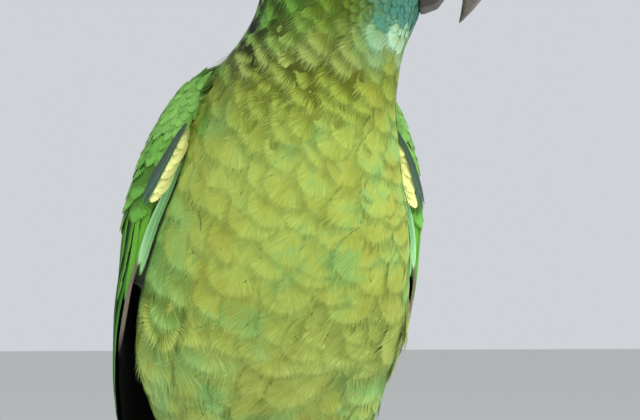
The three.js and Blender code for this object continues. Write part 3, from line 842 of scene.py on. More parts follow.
class Coat:
    """One mesh of many feathers, with the maps and attributes their finish reads."""

    PATCH = 0.003

    def __init__(self, name: str, rng: np.random.Generator) -> None:
        """Start with no feathers."""
        self.name = name
        self.rng = rng
        self.faces: list[tuple[int, Array]] = []
        self.tables: dict[str, list[Array]] = {}
        self.count = 0

    def _keep(self, **tables: Array) -> None:
        """Keep the places, normals, maps and attributes of one set of feathers."""
        for name, table in tables.items():
            self.tables.setdefault(name, []).append(table)

    def add(
        self,
        vane: Vane,
        shaped: Callable[[Array, Array], Spots],
        colours: Array,
        unwrap: Array,
        painter: Callable[[Array, Array], Array] | None = None,
    ) -> None:
        """Add one feather for each row of colours.

        Args:
            vane: the unit feather.
            shaped: gives the places (feathers, vertices, 3) and the surface's normals there
                from across and along.
            colours: one linear colour for each feather, and one value for its dusky rim and the painted shade
                on its base.
            unwrap: each feather's place on the unwrap of its skin, 0 to 1.
            painter: colours along the vane, from the distance off the shaft and along.
        """
        table, faces = vane.unit()
        across, along, barb, off, barb_x, barb_y = table.T
        number, size = len(colours), len(table)
        stretch = (self.rng.random((number, size)) - 0.45) * vane.fray
        swing = (self.rng.random((number, size)) - 0.5) * vane.fray * 0.5
        frayed_across = across + stretch * barb_x - swing * barb_y
        places, facing = shaped(frayed_across, along + stretch * barb_y + swing * barb_x * 0.3)
        paint = np.repeat(colours[:, None, :], size, axis=1)
        if painter is not None:
            paint[..., :3] = painter(off, along)
        points = places.reshape(-1, 3)
        first, second, third = (points[list(faces[0])[k]] for k in range(3))
        if np.cross(second - first, third - first) @ facing[faces[0][0]] < 0:
            faces = [face[::-1] for face in faces]
        base = np.arange(number)[:, None] * size + self.count
        for width in (4, 3):
            flat = np.array([f for f in faces if len(f) == width])
            self.faces.append((width, (flat[None] + base[:, :, None]).reshape(-1, width)))
        local = (np.stack([off / 2, along - 0.5], 1) * self.PATCH)[None]
        spread = np.clip(unwrap, self.PATCH, 1 - self.PATCH)[:, None]
        self._keep(
            points=points,
            facing=facing,
            plumage=paint.reshape(-1, 4),
            tint=np.repeat(self.rng.random(number), size),
            along=np.tile(along, number),
            vane=np.tile(np.stack([off / 2 + 0.5, barb], 1), (number, 1)),
            OFBake=(spread + local).reshape(-1, 2),
        )
        self.count += number * size

    def build(self) -> Piece:
        """Mesh object with the vane and OFBake maps and the feather attributes."""
        mesh = bpy.data.meshes.new(self.name)
        tables = {name: np.concatenate(parts) for name, parts in self.tables.items()}
        loops = np.concatenate([f.ravel() for _, f in self.faces])
        totals = np.concatenate([np.full(len(f), w) for w, f in self.faces])
        mesh.vertices.add(len(tables["points"]))
        mesh.vertices.foreach_set("co", tables["points"].astype(np.float32).ravel())
        mesh.loops.add(len(loops))
        mesh.loops.foreach_set("vertex_index", loops.astype(np.int32))
        mesh.polygons.add(len(totals))
        mesh.polygons.foreach_set("loop_start", (np.cumsum(totals) - totals).astype(np.int32))
        mesh.polygons.foreach_set("loop_total", totals.astype(np.int32))
        mesh.update(calc_edges=True)
        mesh.polygons.foreach_set("use_smooth", np.ones(len(totals), bool))
        for name in ("vane", "OFBake"):
            layer = mesh.uv_layers.new(name=name)
            layer.data.foreach_set("uv", tables[name][loops].astype(np.float32).ravel())
        piece = bpy.data.objects.new(self.name, mesh)
        for name in ("plumage", "tint", "along"):
            mark(piece, name, tables[name])
        mesh.validate()
        mesh.normals_split_custom_set_from_vertices(tables["facing"])
        link(piece)
        return piece


def unit_rows(vectors: Array) -> Array:
    """Vectors scaled to length 1."""
    return vectors / (norm(vectors, axis=-1, keepdims=True) + 1e-12)


def tangent(ways: Array, normals: Array) -> Array:
    """Unit vectors along a surface, from vectors and its normals."""
    return unit_rows(ways - normals * np.sum(ways * normals, axis=1, keepdims=True))


@dataclass(frozen=True)
class Lie:
    """How the feathers of one patch lie on the form.

    Attributes:
        rise: how deep the roots sit under the tips.
        camber: how far the edges fall below the shaft, as a share of the half-width.
        ruffle: how unevenly the feathers lie, radians.
        stand: how far the tips stand out at most.
    """

    rise: float | Array
    camber: float
    ruffle: float | Array = 0.12
    stand: float | Array = 0.0


@dataclass
class BodyCoat:
    """Feathers of the head, neck, trunk, thighs and tail coverts, laid on the feather form.

    SHOULDER is the height from which the form takes in the wings. ROW_STEPS gives shares of
    the body's axis and the millimetres from row to row there.
    """

    skin: Skin
    markings: Markings
    rng: np.random.Generator
    wings: BVHTree
    SHOULDER = 0.312
    ROW_STEPS = ((0, 0.2, 0.6, 0.8, 0.95, 1.1), (6.5, 9.0, 8.6, 7.6, 6.0, 4.8))
    GAPE = HEAD.place(24 * MM, 0, 361 * MM)

    def flow(self, points: Array, normals: Array) -> Array:
        """Way the feathers lie: back from the bill over the head, then down to the tail.

        Args:
            points: places on the form.
            normals: of the form there.

        Returns:
            A unit vector along the form for each point.
        """
        x, y, z = points.T
        from_bill = unit_rows(points - self.GAPE)
        down = np.tile(-AXIS.direction, (len(points), 1))
        down[:, 0] -= AXIS.slope((points - np.array(AXIS.low)) @ AXIS.direction)
        down[:, 0] += x * 5 * band(z, 0.26, 0.31, 0.33, 0.35)
        on_head = smooth(z, 0.334, 0.356)[:, None]
        ways = down * (1 - on_head) + from_bill * on_head
        legs = smooth(z, 0.240, 0.226) * smooth(np.abs(x), 0.007, 0.015) * smooth(y, 0.010, -0.004)
        legs = legs[:, None]
        ways = ways * (1 - legs) + np.array([0, 0.05, -1.0]) * legs
        return tangent(ways, normals)

    def full(self, points: Array) -> Array:
        """How far the feathers stand off the form over the left side of the lower belly."""
        x, y, z = points.T
        low = band(z, 0.195, 0.215, 0.240, 0.262)
        return 2.4 * MM * low * smooth(x, 0.010, 0.034) * smooth(y, 0.015, -0.005)

    def off_wing(self, points: Array) -> Array:
        """How far points are clear of the wings, 0 where they cover feathers and 1 away from them."""
        return smooth(distances(self.wings, points), 4 * MM, 12 * MM)

    def lay(
        self, coat: Coat, vane: Vane, spots: Spots, size: tuple[Array, Array], lie: Lie, tree: BVHTree
    ) -> None:
        """Lay one feather at each root.

        Args:
            coat: the mesh they join.
            vane: their shape.
            spots: roots and normals on the form.
            size: their lengths and widest half-widths.
            lie: how they lie.
            tree: the form they lie on.
        """
        roots, normals = spots
        number, rng = len(roots), self.rng
        ways = self.flow(roots, normals)
        sides = np.cross(ways, normals)
        swing = (rng.normal(0, 1, number) * lie.ruffle)[:, None]
        cosine, sine = np.cos(swing), np.sin(swing)
        ways, sides = ways * cosine + sides * sine, sides * cosine - ways * sine
        lengths = size[0] * rng.uniform(0.88, 1.1, number)
        widths = size[1] * rng.uniform(0.9, 1.1, number)
        level = rng.uniform(-0.15, 0.05, number) * MM
        tilt = rng.normal(0.012, 0.012, number)
        curl = rng.normal(0, 0.05, number)
        raised = rng.uniform(0.2, 1, number) * lie.stand
        tilt = tilt + rng.normal(0, 0.06, number) * (np.asarray(lie.stand) > 0.3 * MM)
        scatter = rng.normal(0, 1.1 * MM, number)
        deep = np.broadcast_to(lie.rise, number)
        colours = self.markings.at(roots + ways * lengths[:, None] * 0.6, scatter)
        around = np.arctan2(roots[:, 0], middle_of(roots) - roots[:, 1])
        unwrap = np.stack([around / (2 * np.pi) + 0.5, (roots[:, 2] - 0.14) / 0.26], 1)

        def shaped(across: Array, along: Array) -> Spots:
            """Places of all vertices, bent along the form."""
            reach = along * lengths[:, None]
            aside = across * widths[:, None] + curl[:, None] * reach * along
            flat = roots[:, None] + ways[:, None] * reach[..., None] + sides[:, None] * aside[..., None]
            lift = level[:, None] - deep[:, None] * np.clip(1 - along, 0, 1) ** 1.15 + tilt[:, None] * aside
            past = np.clip(np.maximum(np.abs(across), (along - 0.7) / 0.3), 0, 1.3)
            lift = lift - lie.camber * widths[:, None] * past**2.5
            lift = lift + raised[:, None] * np.clip(along, 0, 1) ** 1.5
            points = flat.reshape(-1, 3)
            places, facing = self.skin.settle(points, lift.ravel() + self.full(points), tree)
            return places.reshape(flat.shape), facing

        coat.add(vane, shaped, colours, unwrap)

    def rows(self, low: float, high: float) -> tuple[Array, Array, Array, Array]:
        """Roots in staggered rows square to the body's axis.

        Args:
            low: distance of the last row along the axis.
            high: distance of the first row.

        Returns:
            Roots, normals, and each root's distance along the axis and spacing of rows.
        """
        found: list[tuple[Vector, Vector, float, float]] = []
        distance, odd = high, 0
        angles = np.linspace(0, 2 * np.pi, 97)
        while distance > low:
            share = distance / AXIS.length
            step = np.interp(share, *self.ROW_STEPS) * MM
            centre = AXIS.at(distance)
            aside = np.array([1.0, 0, 0]) - AXIS.direction * AXIS.slope(distance)
            rays = np.cos(angles)[:, None] * aside + np.sin(angles)[:, None] * AXIS.backward
            tree = self.skin.tree if centre[2] < self.SHOULDER else self.skin.joined
            hits = [tree.ray_cast(Vector(centre), Vector(ray))[0] for ray in rays]
            ring = np.array([hit if hit else centre for hit in hits])
            lengths = np.concatenate([[0], np.cumsum(norm(np.diff(ring, axis=0), axis=1))])
            count = max(int(lengths[-1] / (step * 1.4)), 3)
            wanted = (np.arange(count) + odd * 0.5 + self.rng.uniform(-0.2, 0.2, count)) / count * lengths[-1]
            turn = np.interp(wanted % lengths[-1], lengths, angles)
            uneven = 0.14 - 0.09 * smooth(share, 0.6, 0.8)
            wobble = self.rng.normal(0, uneven * step, count)
            for angle, shift in zip(turn, wobble):
                ray = math.cos(angle) * aside + math.sin(angle) * AXIS.backward
                hit = tree.ray_cast(Vector(centre + AXIS.direction * shift), Vector(ray))
                if hit[0]:
                    found.append((hit[0], hit[1], distance, step))
            distance -= step
            odd = 1 - odd
        return tuple(np.array(column) for column in zip(*found))

    def scattered(
        self, spacing: Callable[[Array], Array], tries: int, keep: Callable[[Array], Array]
    ) -> Spots:
        """Roots spread evenly but without rows over a part of the form.

        Args:
            spacing: least distance between roots at points.
            tries: number of candidates.
            keep: which points may hold a root.

        Returns:
            Roots and normals.
        """
        form = self.skin.form
        quads = np.array([p.vertices[:4] for p in form.data.polygons if len(p.vertices) == 4])
        corners = vertices(form)[quads]
        area = norm(np.cross(corners[:, 2] - corners[:, 0], corners[:, 3] - corners[:, 1]), axis=1)
        area = area * keep(corners.mean(1))
        chosen = self.rng.choice(len(quads), tries, p=area / area.sum())
        u, v = self.rng.random((2, tries, 1))
        c = corners[chosen]
        spots = (c[:, 0] * (1 - u) + c[:, 1] * u) * (1 - v) + (c[:, 3] * (1 - u) + c[:, 2] * u) * v
        least = spacing(spots)
        grid: dict[tuple[int, int, int], list[int]] = {}
        kept = []
        around = list(product((-1, 0, 1), repeat=3))
        keys = np.floor(spots / float(least.max())).astype(int)
        for i, (x, y, z) in enumerate(keys):
            near = [k for a, b, d in around for k in grid.get((x + a, y + b, z + d), ())]
            if near and np.min(np.sum((spots[near] - spots[i]) ** 2, axis=1)) < least[i] ** 2:
                continue
            grid.setdefault((x, y, z), []).append(i)
            kept.append(i)
        found = [self.skin.tree.find_nearest(spot) for spot in spots[kept].tolist()]
        return np.array([f[0] for f in found]), np.array([f[1] for f in found])

    def trunk(self) -> list[Piece]:
        """Feathers in rows over the trunk, neck and tail coverts, in a front and a back mesh."""
        roots, normals, places, steps = self.rows(-0.012, AXIS.length + 0.03)
        forward, _, height = HEAD.local(roots)
        tops = (0.360 - 0.014 * smooth(forward, 0.002, 0.012)) + 0.5 * MM
        onto_wing = np.interp(height, [0.310, 0.316, 0.322, 0.328], [1.5, 3.0, 7.0, 14.0]) * MM
        buried = distances(self.skin.joined, roots) > 7 * MM
        keep = (height < tops) & (distances(self.skin.tree, roots) < onto_wing) & ~buried
        front = roots[:, 1] < AXIS.at(0)[1] + (AXIS.high[1] - AXIS.low[1]) * (places / AXIS.length)
        pieces = []
        for name, part, bands in (("front", front, 70), ("back", ~front, 28)):
            coat = Coat(f"{name}_feathers", self.rng)
            vane = Vane(bands, base=0.1, blunt=3.6, fray=0.5, loose=26, reach=0.2, fan=0.5)
            for low, tree in ((True, self.skin.tree), (False, self.skin.joined)):
                chosen = keep & part & ((height < self.SHOULDER) == low)
                spots, step = (roots[chosen], normals[chosen]), steps[chosen]
                loose = self.markings.flank(roots[chosen])
                stand = 2.6 * MM * loose * self.off_wing(roots[chosen])
                lie = Lie((0.4 + 0.8 * loose) * MM, 0.02, 0.12 + 0.45 * loose, stand)
                self.lay(coat, vane, spots, (step * 2.9, step * 1.3), lie, tree)
            pieces.append(coat.build())
        return pieces

    def head(self) -> Piece:
        """Small feathers over the head, smallest round the bill and eyes."""
        eyes = [HEAD.place(HEAD.eye_forward, s * 20 * MM, HEAD.eye_height) for s in (-1, 1)]
        bill = HEAD.place(30 * MM, 0, 363 * MM)

        def spacing(points: Array) -> Array:
            """Least distance between feathers, growing away from the bill."""
            far = norm(points - bill, axis=1)
            return np.interp(far, [0.008, 0.022, 0.06], [1.1, 1.55, 2.5]) * MM

        def keep(points: Array) -> Array:
            """The head above the neck rows, clear of the eye rings and bill."""
            forward, _, height = HEAD.local(points)
            clear = height > 0.354 - 0.014 * smooth(forward, 0.002, 0.012)
            for eye in eyes:
                clear &= norm(points - eye, axis=1) > 8.0 * MM
            return clear.astype(float)

        spots = self.scattered(spacing, 50000, keep)
        size = spacing(spots[0])
        vane = Vane(13, blunt=2.6, fray=0.3, loose=4, reach=0.2, fan=0.6)
        coat = Coat("head_feathers", self.rng)
        self.lay(coat, vane, spots, (size * 3.0, size * 0.95), Lie(0.55 * MM, 0.05, 0.1), self.skin.tree)
        return coat.build()

    def thighs(self) -> Piece:
        """Soft feathers over both thighs, down to the feet."""

        def keep(points: Array) -> Array:
            """The thighs alone."""
            x, y, z = points.T
            return ((z < 0.238) & (np.abs(x) > 0.006) & (y < 0.012)).astype(float)

        def spacing(points: Array) -> Array:
            """Least distance between feathers, less near the feet."""
            return np.interp(points[:, 2], [0.206, 0.235], [2.6, 4.6]) * MM

        spots = self.scattered(spacing, 9000, keep)
        size = spacing(spots[0])
        vane = Vane(12, blunt=1.9, fray=0.5, loose=6, reach=0.5)
        coat = Coat("thigh_feathers", self.rng)
        self.lay(coat, vane, spots, (size * 3.0, size * 0.8), Lie(1.0 * MM, 0.05), self.skin.tree)
        return coat.build()


# ---- wings and tail
@dataclass
class Sheet:
    """Smooth surface through a grid of points, rows by height and columns across.

    Attributes:
        grid: points, lowest row first and the front or right column first.
        heights: of the rows, evenly spaced.
        wrap: number of leading columns that turn round the front edge.
        sign: which way the surface faces.
    """

    grid: Array
    heights: Array
    wrap: int
    sign: float
    normals: Array = field(init=False)
    breadths: Array = field(init=False)
    fronts: Array = field(init=False)

    def __post_init__(self) -> None:
        """Work out the normals and the breadths."""
        aside = np.gradient(self.grid, axis=1)
        upward = np.gradient(self.grid, axis=0)
        self.normals = unit_rows(np.cross(aside, upward)) * self.sign
        steps = norm(np.diff(self.grid, axis=1), axis=2)
        self.breadths = steps[:, self.wrap :].sum(1)
        self.fronts = steps[:, : self.wrap].sum(1)

    def breadth(self, height: Array) -> Array:
        """Length of the surface across at heights."""
        return np.interp(height, self.heights, self.breadths)

    def front(self, height: Array) -> Array:
        """Length of the front face at heights, as a share of the breadth."""
        return np.interp(height, self.heights, self.fronts) / self.breadth(height)

    def spot(self, share: Array, height: Array) -> Array:
        """Share across, where -1 stands for the inner end of the front face."""
        return np.where(share < 0, share * self.front(height), share)

    def at(self, across: Array, height: Array, lift: Array, round_edge: bool = False) -> Spots:
        """Points lifted off the surface, and its normals there.

        Args:
            across: shares of the breadth.
            height: of the points.
            lift: how far they are lifted along the normal.
            round_edge: whether shares below 0 turn round the front edge or run straight on.

        Returns:
            The points and the normals.
        """
        last = self.grid.shape[1] - 1
        column = self.wrap + across * (last - self.wrap)
        if round_edge:
            column = np.where(across < 0, self.wrap * (1 + across / self.front(height)), column)
        first = 0 if round_edge else self.wrap
        i = np.clip(np.floor(column), first, last - 1).astype(int)
        row = (height - self.heights[0]) / (self.heights[1] - self.heights[0])
        j = np.clip(np.floor(row), 0, len(self.heights) - 2).astype(int)
        s, t = (column - i)[..., None], (row - j)[..., None]
        out = []
        for values in (self.grid, self.normals):
            below = values[j, i] * (1 - s) + values[j, i + 1] * s
            above = values[j + 1, i] * (1 - s) + values[j + 1, i + 1] * s
            out.append(below * (1 - t) + above * t)
        facing = unit_rows(out[1])
        places = out[0] + facing * np.asarray(lift)[..., None]
        puffed = np.array([0, -0.35, 0.35]) * smooth(-across, -0.02, 0.06)[..., None] * round_edge
        return places, unit_rows(facing + puffed).reshape(-1, 3)


WING_ROWS, WING_COLUMNS, WRAP = 60, 33, 6


def level_rays(side: Side, angles: Array) -> Array:
    """Level unit vectors at angles back from the bird's side."""
    return np.stack([side.value * np.cos(angles), np.sin(angles), np.zeros(len(angles))], 1)


def wing_sheet(side: Side, body: BVHTree) -> Sheet:
    """Outer surface of one folded wing, found by rays towards the body's middle.

    Args:
        side: which wing.
        body: the form that the wing lies on, where its front face ends.

    Returns:
        The surface, with the front face as its leading columns.
    """
    names = [f"wing_{side.name.lower()}_{part}" for part in ("coverts", "secondaries", "primaries")]
    tree = node_tree(*names)
    boxes = np.array([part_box(name) for name in names])
    heights = np.linspace(boxes[:, 0, 2].min() + MM, boxes[:, 1, 2].max() - MM, WING_ROWS)
    angles = np.radians(np.arange(-40, 100, 0.5))
    outs = level_rays(side, angles)
    start, far = 0.12, 0.11
    rows: list[Array] = []
    for height in heights:
        centre = np.array([0, np.interp(height, [0.156, 0.262, 0.331], [0.038, -0.017, -0.041]), height])
        hits = [tree.ray_cast(Vector(centre + out * start), Vector(-out), far)[0] for out in outs]
        found = np.array([hit is not None for hit in hits])
        if found.sum() < 12:
            rows.append(rows[-1])
            continue
        reach = np.array([(hit - Vector(centre)).length for hit in hits if hit])
        padded = np.pad(reach, 2, mode="edge")
        reach = np.median([padded[k : k + len(reach)] for k in range(5)], axis=0)
        turns = np.linspace(*angles[found][[0, -1]], WING_COLUMNS)
        radius = np.interp(turns, angles[found], reach)
        outer = level_rays(side, turns) * radius[:, None] + centre
        out = unit_rows(outer[0] - centre)
        edge = outer[0] + np.array([0, -0.3 * MM, 0])
        hit = body.ray_cast(Vector(edge), Vector(-out), 0.014)[0]
        inner = np.array(hit) if hit else edge - out * 1.5 * MM
        share = np.linspace(0, 1, WRAP + 1)[:-1, None]
        bulge = np.array([0, -1.0, 0]) * np.sin(np.pi * share) * norm(edge - inner) * 0.2
        rows.append(np.concatenate([inner + (outer[0] - inner) * share + bulge, outer]))
    grid = np.array(rows)
    grid[1:-1, :WRAP] = (grid[:-2, :WRAP] + grid[1:-1, :WRAP] + grid[2:, :WRAP]) / 3
    return Sheet(grid, heights, WRAP, side.value)


def tail_sheet(columns: int = 21) -> Sheet:
    """Upper surface of the closed tail."""
    tree = node_tree("tail_feathers")
    low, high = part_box("tail_feathers")
    heights = np.linspace(low[2] + 9 * MM, high[2] - 2 * MM, 24)
    spots = np.linspace(low[0], high[0], 121)
    rows = []
    for height in heights:
        hits = [tree.ray_cast(Vector((x, 0.2, height)), Vector((0, -1, 0)), 0.3)[0] for x in spots]
        ridge = np.array([hit for hit in hits if hit])
        wanted = np.linspace(ridge[0, 0], ridge[-1, 0], columns)
        behind = np.interp(wanted, ridge[:, 0], ridge[:, 1])
        rows.append(np.stack([wanted, behind, np.full(columns, height)], 1))
    return Sheet(np.array(rows), heights, 0, -1.0)


@dataclass(frozen=True)
class QuillPaint:
    """Colours of a long feather, from stops at shares of its length.

    Attributes:
        whole: stops of the vane.
        outer: stops laid over the outer web, the one in front of the shaft.
        span: how far off the shaft those start and are full.
        share: how much of them shows.
        both: whether they lie on both webs.
    """

    whole: Stops
    outer: Stops = ()
    span: Pair = (0.0, 1e-6)
    share: float = 1.0
    both: bool = False

    def __call__(self, off: Array, along: Array) -> Array:
        """Colours at distances off the shaft and along the feather."""
        paint = self._mixed(self.whole, along)
        if self.outer:
            mask = smooth(np.abs(off) if self.both else -off, *self.span) * self.share
            paint = paint + (self._mixed(self.outer, along) - paint) * mask[..., None]
        return paint

    @staticmethod
    def _mixed(stops: Stops, along: Array) -> Array:
        """Colours between stops."""
        places = [place for place, _ in stops]
        return np.stack([np.interp(along, places, [c[k] for _, c in stops]) for k in range(3)], -1)


GREEN, DEEP_GREEN, LIME = rgb("#4f9a34"), rgb("#2c5f2c"), rgb("#a3b93a")
INK, SLATE, VIOLET = rgb("#0d1012"), rgb("#4a5a55"), rgb("#27407f")
FROST, TEAL, SCARLET = rgb("#bcf0b0"), rgb("#7cc488"), rgb("#c8461c")
LEMON, BROWN, BRIGHT = rgb("#fdffa4"), rgb("#8b8072"), rgb("#72b840")
PRIMARY = QuillPaint(((0, INK),), ((0.5, GREEN), (0.7, VIOLET), (0.86, INK)), (0.35, 0.6))
SECONDARY = QuillPaint(
    ((0.8, INK), (1, VIOLET)), ((0.42, SCARLET), (0.5, GREEN), (0.86, GREEN), (0.97, VIOLET))
)
TERTIAL = QuillPaint(((0, DEEP_GREEN), (0.5, GREEN)))
SLIVER = QuillPaint(((0, DEEP_GREEN), (0.7, INK)), ((0, BRIGHT),), (0.3, 0.6))
COVERT = QuillPaint(((0, DEEP_GREEN), (0.45, rgb("#5aa336")), (1, rgb("#6cb03e"))))
SHAFT = QuillPaint(((0.7, BROWN), (0.95, INK)))
EDGE = QuillPaint(((0.6, BRIGHT), (1, GREEN)))
FROSTED = QuillPaint(((0.6, TEAL), (1, FROST)), ((0, FROST),), (0.1, 0.6), both=True)
ALULA = QuillPaint(((0, SLATE),), ((0, TEAL),), (0.55, 0.95), 0.6)
# Black sheet that stands for the deep shade under the folded wing.
SHADE_LINING = QuillPaint(((0, INK),))
TAIL_MIDDLE = QuillPaint(((0, GREEN), (0.55, rgb("#5b9a36")), (0.78, LIME)))
TAIL_SIDE = QuillPaint(((0.5, SCARLET), (0.66, GREEN), (0.8, LIME)), ((0.6, GREEN), (0.8, LIME)))
SMOOTH_VANE, ROUND_VANE = Vane(9, blunt=2.6, fray=0.02), Vane(20, widest=0.55, blunt=2.0, fray=0.02)
FROSTED_VANE = Vane(26, widest=0.7, base=0.55, blunt=3.6, fray=0.15)


@dataclass(frozen=True)
class Tract:
    """Rows of one kind of small covert on a wing, in millimetres and shares across.

    Attributes:
        high: height of the first row.
        low: height where the rows end.
        step: from row to row.
        first: where the first row starts and ends.
        last: where the last row starts and ends.
        apart: from feather to feather.
        half: widest half-width of the feathers.
        dusk_and_shade: how dusky their rims are and how much painted shade falls on their bases.
        lift: height of the tips over the wing's surface.
        rise: how deep the roots sit under the tips.
        slant: how much higher a row is at its back than at its front.
        lean: how far the feathers lean back, radians.
    """

    high: float
    low: float
    step: float
    first: Pair
    last: Pair
    apart: float
    length: float
    half: float
    colour: Colour
    dusk_and_shade: float
    lift: float
    rise: float
    slant: float = 0.0
    lean: float = 0.0
    vane: Vane = Vane(13, blunt=2.3, fray=0.06)

    def edges(self, height: float) -> Array:
        """Front and back edge of the tract at a height."""
        down = min((self.high - height) / (self.high - self.low), 1.0)
        return np.array(self.first) + np.subtract(self.last, self.first) * down


@dataclass(frozen=True)
class Quills:
    """A row of long feathers, from the first to the last, in millimetres and shares across.

    Attributes:
        count: number of feathers.
        root: share across and height of the first and the last root.
        tip: share across and height of the first and the last tip.
        half: widest half-width.
        lift: height over the surface of the first and the last.
        belly: how much further the tips of the middle feathers reach.
        outer: breadth of the outer web as a share of the inner.
    """

    count: int
    root: tuple[Pair, Pair]
    tip: tuple[Pair, Pair]
    half: float
    lift: Pair
    paint: QuillPaint
    belly: float = 0.0
    outer: float = 0.6
    vane: Vane = Vane(26, widest=0.7, base=0.55, blunt=2.2, fray=0.15)


@dataclass
class Wing:
    """Feathers of one folded wing: small coverts in rows and long feathers one by one."""

    side: Side
    rng: np.random.Generator
    body: BVHTree
    sheet: Sheet = field(init=False)
    tracts: tuple[Tract, ...] = (
        Tract(329.0, 313, 2.1, (-1.0, 1.02), (-0.4, 1.02), 2.5, 9, 1.7, rgb("#7ab452"), 0.25, 0.9, 0.4),
        Tract(313, 307, 2.6, (-0.4, 1.02), (-0.1, 1.02), 3.4, 11, 2.5, rgb("#6fb044"), 0.25, 0.9, 0.5),
        Tract(
            310, 293, 5.2, (-0.25, 1.02), (0.12, 1.02), 7.4, 15, 5.2, rgb("#6cb440"), 0.92, 0.8, 0.9,
            8, 0.1, ROUND_VANE,
        ),
        Tract(
            311, 294, 2.2, (-0.85, -0.7), (-0.62, -0.34), 1.2, 8, 1.8, LEMON, 0.1, 1.4, 0.6,
            0, 0.3, SMOOTH_VANE,
        ),
    )
    quills: tuple[Quills, ...] = (
        Quills(9, ((0.02, 284), (0.5, 276)), ((0.16, 176), (0.92, 214)), 5.6, (0.6, 0.0), PRIMARY, 16, 0.5),
        Quills(5, ((0.30, 292), (0.58, 294)), ((0.80, 207), (0.93, 226)), 5.6, (-0.4, -0.2), SECONDARY),
        Quills(4, ((0.62, 296), (0.95, 300)), ((0.94, 232), (0.99, 254)), 6.0, (-0.1, 0.2), TERTIAL, 0, 0.9),
        Quills(6, ((0.0, 298), (0.26, 298)), ((0.05, 258), (0.30, 252)), 3.4, (-0.2, 0.0), SLIVER),
        Quills(9, ((0.22, 300), (0.96, 306)), ((0.30, 261), (1.0, 276)), 5.2, (0.1, 0.4), COVERT, 0, 0.9),
        Quills(1, ((-0.3, 277), (-0.3, 277)), ((-0.02, 240), (-0.02, 240)), 0.6, (0.7, 0.7), SHAFT, 0, 1.0),
        Quills(2, ((-0.3, 296), (0.02, 292)), ((-0.2, 264), (0.0, 258)), 1.3, (0.3, 0.5), EDGE, 0, 1.0),
        Quills(
            2, ((-1.0, 303), (-0.8, 297)), ((-0.6, 266), (-0.4, 269)), 1.2, (0.7, 0.9), FROSTED, 0, 1.0,
            FROSTED_VANE,
        ),
        Quills(2, ((-0.5, 313), (-0.42, 311)), ((-0.08, 287), (0.0, 289)), 0.9, (1.7, 1.9), ALULA, 0, 1.0),
    )
    TUCK = 1.2

    def __post_init__(self) -> None:
        """Find the wing's surface."""
        self.sheet = wing_sheet(self.side, self.body)

    @staticmethod
    def _unwrap(across: Array, height: Array) -> Array:
        """Places on the unwrap of the wing's surface, 0 to 1."""
        return np.stack([(across + 0.2) / 1.25, (height - 0.15) / 0.19], 1)

    def _rows(self, coat: Coat, tract: Tract) -> None:
        """Lay the rows of one tract, from the top down."""
        across_all, height_all = [], []
        for k, height in enumerate(np.arange(tract.high, tract.low, -tract.step) * MM):
            front, back = self.sheet.spot(tract.edges(height / MM), height)
            breadth = self.sheet.breadth(height) * (back - front)
            count = max(int(breadth / (tract.apart * MM)), 1)
            spots = (np.arange(count + 1) + 0.5 * (k % 2) + self.rng.uniform(-0.12, 0.12, count + 1)) / count
            spots = spots[spots < 1.02]
            across_all.append(front + spots * (back - front))
            slant = (across_all[-1] - 0.5) * tract.slant * MM
            height_all.append(height + slant + self.rng.normal(0, 0.08 * tract.step * MM, len(spots)))
        across0, height0 = np.concatenate(across_all), np.concatenate(height_all)
        number = len(across0)
        lengths = tract.length * MM * self.rng.uniform(0.92, 1.08, number)
        swing = self.rng.normal(tract.lean, 0.06, number)
        tilt = self.rng.normal(0, 0.03, number)
        deep = tract.rise + 1.8 * smooth(height0 / MM, tract.high - 5, tract.high - 1)
        # The alpha gives the dusky rims and the painted shade on the covert bases.
        paint = np.tile([*tract.colour, tract.dusk_and_shade], (number, 1))
        paint[:, :3] *= self.rng.uniform(0.8, 1.2, (number, 1))

        def shaped(across: Array, along: Array) -> Spots:
            """Places of all vertices on the wing."""
            reach = along * lengths[:, None]
            aside = across * tract.half * MM + swing[:, None] * reach
            height = height0[:, None] - reach * 0.9
            spot = across0[:, None] + aside / self.sheet.breadth(height)
            lift = tract.lift - deep[:, None] * np.clip(1 - along, 0, 1) ** 1.2
            lift = lift - 0.3 * across**2 * (0.4 + along)
            return self.sheet.at(spot, height, lift * MM + tilt[:, None] * aside, round_edge=True)

        coat.add(tract.vane, shaped, paint, self._unwrap(across0, height0))

    def _row_of_quills(self, coat: Coat, row: Quills) -> None:
        """Lay one row of long feathers."""
        share = np.linspace(0, 1, row.count)
        root_across, root_height = (np.interp(share, [0, 1], ends) for ends in zip(*row.root))
        tip_across, tip_height = (np.interp(share, [0, 1], ends) for ends in zip(*row.tip))
        tip_height = tip_height - row.belly * np.sin(np.pi * share) ** 0.8
        level = np.interp(share, [0, 1], row.lift)
        # The alpha sets a little painted shade on the bases of the long feathers.
        paint = np.tile([0, 0, 0, 0.3], (row.count, 1))

        def shaped(across: Array, along: Array) -> Spots:
            """Places of all vertices on the wing."""
            height = (root_height[:, None] + (tip_height - root_height)[:, None] * along) * MM
            share = root_across[:, None] + (tip_across - root_across)[:, None] * np.clip(along, 0, 2) ** 0.85
            aside = across * np.where(across < 0, row.outer, 1.0) * row.half * MM
            spot = self.sheet.spot(share, height) + aside / self.sheet.breadth(height)
            tuck = np.clip(1 - along / 0.35, 0, 1) ** 1.5
            lift = (level[:, None] - 0.25 * np.abs(across) ** 1.5 - self.TUCK * tuck) * MM
            return self.sheet.at(spot, height, lift, round_edge=row.tip[0][0] < 0.1)

        coat.add(row.vane, shaped, paint, self._unwrap(root_across, root_height * MM), row.paint)

    def _shade_lining(self, coat: Coat) -> None:
        """Lay one black sheet of painted shade under the long feathers, so that the wing is not seen through.
        """

        def shaped(across: Array, along: Array) -> Spots:
            """Places of all vertices under the wing."""
            height = (292 - 118 * along) * MM
            return self.sheet.at(0.48 + 0.5 * across, height, (0.8 * np.clip(-across, 0, 1) ** 2 - 1.8) * MM)

